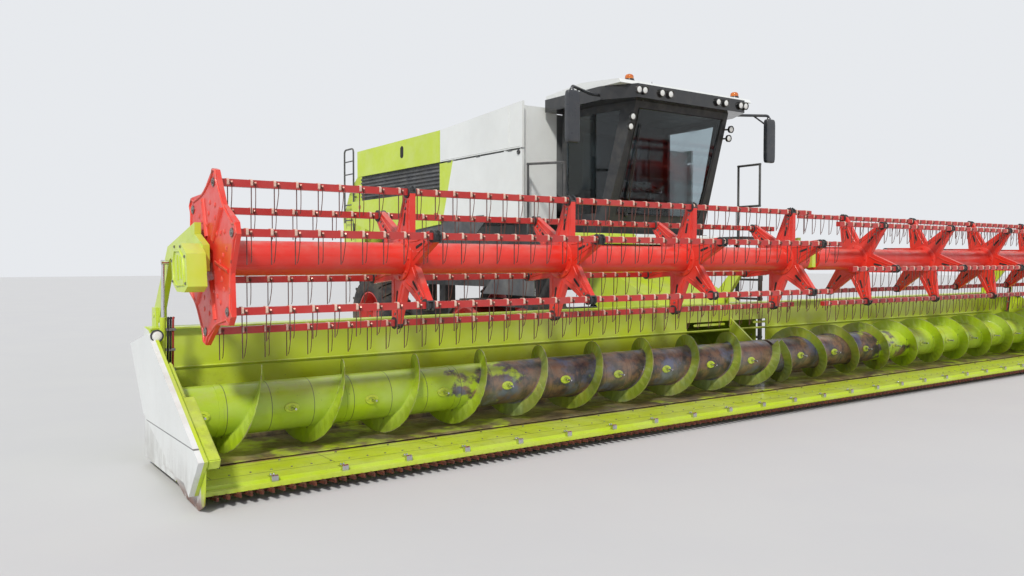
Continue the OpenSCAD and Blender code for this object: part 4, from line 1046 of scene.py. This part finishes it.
def lamp_bits(black, lens, beacon):
    """Bezels and lenses of the work lights, and the beacons on the roof."""
    pillar_x, pillar_z = 0.925, (3.35, 3.47)
    beacon_x, beacon_back = 0.99, 2.25
    spots = [(x * s, 2.0605, 3.77, 0.044) for x in (1.0, 0.9, 0.6, 0.45) for s in (-1, 1)]
    spots += [(s * pillar_x, front_of_cab(z) - 0.07, z, 0.042) for s in (-1, 1) for z in pillar_z]
    for x, back, z, r in spots:
        black.turned(at(x, back, z), (0, -1, -0.08), [
            (-0.035, r * 0.6), (-0.02, r * 1.15), (0.010, r * 1.2), (0.014, r * 1.1), (0.006, r * 0.98)], 28)
        lens.turned(at(x, back, z), (0, -1, -0.08), [
            (0.002, r), (0.007, r * 0.82), (0.010, r * 0.4), (0.011, 0.001)], 28)
    for s in (-1, 1):
        for z in pillar_z:
            black.tube([on_screen(s * pillar_x, z, 0.05), on_screen(s * 0.86, z, -0.02)], 0.012)
        for z, profile in ((3.911, [(0, 0.062), (0.011, 0.060)]), (3.922, [(0, 0.062), (0.006, 0.060)]),
                           (3.885, [(0, 0.075), (0.026, 0.066)])):
            black.turned(at(s * beacon_x, beacon_back, z), (0, 0, 1), profile, 28)
        beacon.turned(at(s * beacon_x, beacon_back, 3.911), (0, 0, 1), [
            (0.0, 0.056), (0.044, 0.056), (0.062, 0.050), (0.073, 0.038), (0.079, 0.020), (0.080, 0.001)], 32)


def mirror_bits(black, silver, housings):
    """Mirror glasses in their housings, with the arms that carry them."""
    arm_x, arm_back = 1.85, 2.335
    for s in (-1, 1):
        silver.block((s * (arm_x - 0.075), s * (arm_x + 0.075)), (2.3602, 2.3630), (3.10, 3.68))
        black.tube(rounded([at(s * 1.66, 2.45, 3.75), at(s * arm_x, 2.34, 3.60),
                            at(s * arm_x, 2.33, 3.20)], 0.05), 0.012)
        cushion(housings, sorted((s * (arm_x - 0.095), s * (arm_x + 0.095))), (2.285, 2.3605), (3.075, 3.705), 0.24)
        housings.tube(rounded([at(s * 1.2503, 2.56, 3.75), at(s * 1.35, 2.56, 3.75),
                               at(s * arm_x, arm_back, 3.76), at(s * arm_x, arm_back, 3.66)], 0.07), 0.020, 12)
        housings.turned(at(s * arm_x, arm_back, 3.685), (0, 0, 1), [(0, 0.032), (0.035, 0.030), (0.045, 0.022)], 20)


def wheel_bits(black):
    """Steering wheel with its hub, and the screen on its stalk."""
    radius, lean, hub_back, rim_z = 0.19, math.radians(24), 2.93, 2.66

    def on_wheel(a):
        return at(radius * math.cos(a), hub_back - radius * math.sin(a) * math.cos(lean),
                  rim_z - radius * math.sin(a) * math.sin(lean))

    black.tube([on_wheel(2 * math.pi * k / 40) for k in range(40)], 0.014, 10, closed=True)
    for degrees in (90, 210, 330):
        black.tube([at(0, hub_back, rim_z - 0.01), on_wheel(math.radians(degrees))], 0.010)
    black.turned(at(0, hub_back, rim_z - 0.05), (0, -0.3, 1), [
        (0, 0.03), (0.04, 0.045), (0.055, 0.035), (0.058, 0.01)], 20)
    black.block((-0.58, -0.34), (2.90, 2.93), (2.72, 2.90))
    black.tube([at(-0.46, 2.93, 2.72), at(-0.44, 3.02, 2.60)], 0.014)


def cab_bits():
    """Lamps, beacons, mirrors, wiper, windscreen seal, aerial, steering wheel, screen and apron."""
    black, lens, beacon, silver, housings, apron = (Mesh() for _ in range(6))
    lamp_bits(black, lens, beacon)
    mirror_bits(black, silver, housings)
    dome = beacon.make("beacon_domes", amber, "chassis", "amber_plastic", smooth=70)
    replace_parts(dome, "beacons")
    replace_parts(housings.make("mirror_housings", mirror_black, "chassis", "dark_plastic", smooth=60), "mirrors")
    black.tube([on_screen(-0.62, 2.26, 0.022), on_screen(-0.66, 2.70, 0.030), on_screen(-0.69, 3.10, 0.026)],
               [0.011, 0.009, 0.006])
    black.tube([on_screen(-0.675, 2.48, 0.010), on_screen(-0.705, 3.40, 0.010)], 0.009, 6)
    black.turned(on_screen(-0.62, 2.26, 0.004), (0, -1, -0.3), [(0, 0.028), (0.024, 0.024), (0.030, 0.014)], 16)
    seal = [(-0.79, 2.27), (0.79, 2.27), (0.79, 3.59), (-0.79, 3.59)]
    black.tube([on_screen(x, z, 0.002) for x, z in seal], 0.009, 6, closed=True)
    black.tube([at(-0.45, 2.38, 3.90), at(-0.45, 2.38, 3.922)], 0.016, 12)
    black.tube([at(-0.45, 2.38, 3.915), at(-0.452, 2.40, 3.985)], [0.005, 0.0025])
    wheel_bits(black)
    black.make("cab_fittings", gloss_black, "chassis", "gloss_black", smooth=45)
    lens.make("cab_lamp_lenses", lens_white, "chassis", "lamp_glass", smooth=80)
    silver.make("mirror_glasses", mirror_glass, "chassis", "lamp_glass")
    apron.plate([(2.718, 2.015), (2.690, 1.990), (2.680, 1.93), (2.700, 1.875), (2.716, 1.875), (2.719, 1.95)],
                -1.58, 1.30)
    apron.make("cab_apron", apron_paint, "chassis", "lime_paint", bevel=0.003)


def cushion(mesh, x, back, z, sharp=0.30):
    """A crowned block: flat sides swell to soft edges."""
    middle = at((x[0] + x[1]) / 2, (back[0] + back[1]) / 2, (z[0] + z[1]) / 2)
    half = Vector(((x[1] - x[0]) / 2, (back[1] - back[0]) / 2, (z[1] - z[0]) / 2))
    rows, cols = 20, 40

    def bend(v):
        return math.copysign(abs(v) ** sharp, v)

    verts = []
    for i in range(rows + 1):
        t = math.pi * (i / rows - 0.5)
        for a in [2 * math.pi * k / cols for k in range(cols)]:
            verts.append(middle + half * Vector((bend(math.cos(t)) * bend(math.cos(a)),
                                                 bend(math.cos(t)) * bend(math.sin(a)), bend(math.sin(t)))))
    mesh.skin(verts, rows + 1, cols, caps=False)


def seat_bits():
    """The seat's pads in place of the plain block, its pedestal with bellows, and the headrest's posts."""
    pads, base = Mesh(), Mesh()
    cushion(pads, (-0.26, 0.26), (3.00, 3.48), (2.50, 2.635))
    cushion(pads, (-0.25, 0.25), (3.395, 3.50), (2.56, 3.05))
    cushion(pads, (-0.15, 0.15), (3.40, 3.49), (3.03, 3.20))
    seat = pads.make("seat_cushions", seat_cloth, "chassis", "seat_fabric", smooth=80)
    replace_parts(seat, "operator_seat")
    bellows = [(0.05 + 0.03 * i, 0.13 + 0.018 * (i % 2)) for i in range(11)]
    base.turned(at(0, 3.25, 2.066), (0, 0, 1),
                [(0, 0.20), (0.02, 0.20), (0.03, 0.13)] + bellows + [(0.40, 0.18), (0.432, 0.18)], 28)
    for x in (-0.03, 0.03):
        base.tube([at(x, 3.47, 2.9), at(x, 3.46, 3.12)], 0.012)
    base.make("seat_pedestal", dark_plastic, "chassis", "dark_plastic")


# Body
def panel_bits():
    """Small parts on the side panels: a dark fill in the handle slot as painted shade, folds, reflectors, hinges,
    handles and cameras.
    """
    slot, folds, orange, hinges, eyes = (Mesh() for _ in range(5))
    for s in (-1, 1):
        if s < 0:
            # only on the right: the unloading tube lies along the left side
            oval = []
            for a in [math.radians(d) for d in range(0, 360, 15)]:
                middle = 3.46 + (0.055 if math.sin(a) > 0 else -0.055)
                oval.append((7.02 + 0.055 * math.cos(a), middle + 0.045 * math.sin(a)))
            # painted shade: a thin dark oval where the handle slot is recessed
            slot.plate(oval, s * (BODY_X - 0.002), s * (BODY_X + 0.0025))
            folds.tube([at(s * (BODY_X + 0.001), 3.93, z) for z in (3.22, 3.76)], 0.005, 6)
        folds.tube([at(s * (BODY_X + 0.001), b, 3.205) for b in (3.66, 5.74)], 0.006, 6, flat=0.35)
        shallow = (s * (BODY_X - 0.001), s * (BODY_X + 0.005))
        orange.block(shallow, (8.60, 8.68), (2.60, 2.66))
        orange.block(shallow, (5.86, 5.96), (2.36, 2.40))
        for b in (3.90, 4.70, 5.50):
            hinges.block((s * BODY_X, s * (BODY_X + 0.006)), (b - 0.05, b + 0.05), (3.150, 3.168))
        hinges.tube([at(s * (BODY_X + 0.005), b, 2.30) for b in (4.55, 4.75)], 0.008)
        eyes.turned(at(s * (BODY_X - 0.002), 3.70, 3.12), (s, 0, 0), [
            (0, 0.035), (0.012, 0.034), (0.018, 0.028), (0.018, 0.016), (0.012, 0.012)], 20)
    return slot, folds, orange, hinges, eyes


def bay_bits(pipes, hoses):
    """Pipes and yellow hoses in the engine bays behind the grilles."""
    for s in (-1, 1):
        for n, (z, r) in enumerate(((2.62, 0.030), (2.70, 0.022), (2.52, 0.040), (3.05, 0.026))):
            pipes.tube(rounded([at(s * 1.50, 6.05 + 0.1 * n, z), at(s * 1.52, 6.9 + 0.2 * n, z + 0.05),
                                at(s * 1.50, 7.6, z + 0.02), at(s * 1.45, 8.45, z - 0.06)], 0.2), r, 12)
        hoses.tube(rounded([at(s * 1.53, 6.10, 2.58), at(s * 1.55, 6.55, 2.86), at(s * 1.53, 7.30, 2.86),
                            at(s * 1.50, 7.9, 2.66)], 0.12), 0.014, 10)
        for b in (6.35, 7.05, 7.75):
            pipes.turned(at(s * 1.50, b, 2.60), (0, 1, 0), [(0, 0.052), (0.05, 0.052)], 20)


def rear_bits(orange, ruby, rails):
    """Tail lamps on both sides of the rear, and a ladder on the right, clear of the unloading tube."""
    lamp_x, lamp_back = 0.98, 10.335
    for s in (-1, 1):
        ruby.turned(at(s * lamp_x, lamp_back, 2.20), (0, 1, 0), [
            (-0.03, 0.06), (0.0, 0.06), (0.008, 0.052), (0.012, 0.02), (0.0125, 0.001)])
        orange.turned(at(s * lamp_x, lamp_back, 2.36), (0, 1, 0), [
            (-0.05, 0.05), (-0.01, 0.05), (0.0, 0.042), (0.004, 0.02), (0.0045, 0.001)])
    post, wall, front, rear = -1.262, -1.196, 9.73, 10.14
    rails.tube(rounded([at(post, front, 2.10), at(post, front, 3.84), at(post, rear, 3.84), at(post, rear, 2.40)],
                       0.08), 0.017, 10)
    for z in (2.45, 2.75, 3.05, 3.35, 3.6):
        rails.tube([at(post, front, z), at(post, rear, z)], 0.013)
    for z, b in ((2.60, front), (2.20, front), (2.90, front), (2.60, rear)):
        rails.tube([at(post, b, z), at(wall, b, z)], 0.013)


def roof_bits():
    """Ribs on the grain tank's lids, louvres on the hood and joints of the unloading tube."""
    for tag in ("right", "left"):
        lo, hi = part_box("tank_lid_" + tag)
        ribs = Mesh()
        for k in range(5):
            b = lo[1] + 0.20 + k * (hi[1] - lo[1] - 0.40) / 4
            rib = [(b - 0.030, hi[2] - 0.001), (b - 0.018, hi[2] + 0.012),
                   (b + 0.018, hi[2] + 0.012), (b + 0.030, hi[2] - 0.001)]
            ribs.prism(rib, 0, lo[0] + 0.06, hi[0] - 0.06)
        ribs.make("lid_ribs_" + tag, housing, "tank_lid_" + tag, "housing_grey", bevel=0.003)
    louvres, joints = Mesh(), Mesh()
    # rows as (count, first place, pitch, foot, top, lower edge of the slope, ends along X)
    for count, first, pitch, foot, top, edge, ends in ((9, 6.90, 0.13, 3.379, 3.394, 3.387, (-1.25, 0.75)),
                                                       (4, 5.97, 0.12, 3.599, 3.612, 3.605, (-0.24, 0.84))):
        for b in [first + pitch * k for k in range(count)]:
            louvres.plate([(b, foot), (b + 0.01, top), (b + 0.06, edge), (b + 0.075, foot)], *ends)
    louvres.make("hood_louvres", hood_lime, "chassis", "housing_grey", bevel=0.002)
    for b in (4.68, 6.1, 7.6, 9.1, 9.86):
        joints.turned(at(1.42, b, 3.60), (0, 1, 0), [(0, 0.200), (0.004, 0.208), (0.036, 0.208), (0.04, 0.200)], 40)
    joints.make("tube_joints", hood_lime, "unloading_tube", "lime_paint")


def body_bits():
    """All small parts of the body; the pieces are made here, one for each kind."""
    slot, folds, orange, hinges, eyes = panel_bits()
    ruby, pipes, hoses, rails = (Mesh() for _ in range(4))
    bay_bits(pipes, hoses)
    rear_bits(orange, ruby, rails)
    slot.make("handle_slot_shade", slot_shade_black, "chassis", "dark_plastic")
    folds.make("tank_folds", white, "chassis", "white_paint", smooth=80)
    orange.make("side_reflectors", amber, "chassis", "amber_plastic", bevel=0.001)
    ruby.make("tail_lamps", tail_red, "chassis", "amber_plastic", smooth=80)
    pipes.make("bay_pipes", bright_steel, "chassis", "rod_steel", smooth=60)
    hoses.make("bay_hoses", hose_yellow, "chassis", "tyre_rubber", smooth=80)
    rails.make("rear_ladders", rail_black, "chassis", "rail_steel", smooth=70)
    eyes.make("seam_cameras", gloss_black, "chassis", "dark_plastic")
    hinges.make("panel_hinges", fender_grey, "chassis", "dark_plastic")
    roof_bits()


# Wheels
def tyre_bits(half):
    """A rear tyre with chevron lugs in place of the plain one, and the studs of its wheel."""
    tyre, studs = Mesh(), Mesh()
    lugs, rows, worn_from = 40, 5, 0.7
    rim_face, stud_circle = 1.54, 0.15
    tread = [(0.19, 0.664), (0.235, 0.652), (0.268, 0.62), (0.280, 0.56), (0.268, 0.47), (0.255, 0.425),
             (0.22, 0.4003)]
    profile = [(-x, r) for x, r in reversed(tread)] + [(0.0, 0.668)] + tread
    tyre.turned((half.side * TYRE_X, y(REAR_BACK), REAR_Z), (1, 0, 0), profile, 96, ring=True)
    for k in range(lugs):
        flip = 1 if k % 2 else -1
        start = 2 * math.pi * k / lugs
        lug = []
        for t in [i / rows for i in range(rows + 1)]:
            x, turn, w = -0.02 + 0.288 * t, 0.16 * (t - 0.35) * half.side, 0.028 - 0.004 * t
            past = max(0.0, t - worn_from)
            top, foot = 0.6985 - 0.10 * past, 0.655 - 0.12 * past
            for r, a in ((foot, turn - w * 1.25), (top, turn - w), (top, turn + w), (foot, turn + w * 1.25)):
                lug.append(at(half.side * TYRE_X + flip * x, REAR_BACK + r * math.sin(start + a),
                              REAR_Z + r * math.cos(start + a)))
        tyre.skin(lug, rows + 1, 4)
    obj = tyre.make("lugged_tyre_" + half.tag, tyre_rubber, "rear_wheel_" + half.tag, "tyre_rubber", smooth=30)
    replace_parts(obj, "rear_tyre_" + half.tag)
    studs.ring_of((half.side * rim_face, y(REAR_BACK), REAR_Z), (half.side, 0, 0), stud_circle, 10, 0.014, 0.02)
    studs.make("wheel_studs_" + half.tag, dull_steel, "rear_wheel_" + half.tag, "rod_steel")


make_camera()
make_floor()
make_key()
make_world()
knife_bits()
table_bits()
wall_bits()
for build in (auger_bits, reel_bits, reel_flanges, star_bits, star_rims):
    for half in HALVES:
        build(half)
end_bits()
cover_bits()
cab_bits()
seat_bits()
body_bits()
for half in HALVES:
    tyre_bits(half)
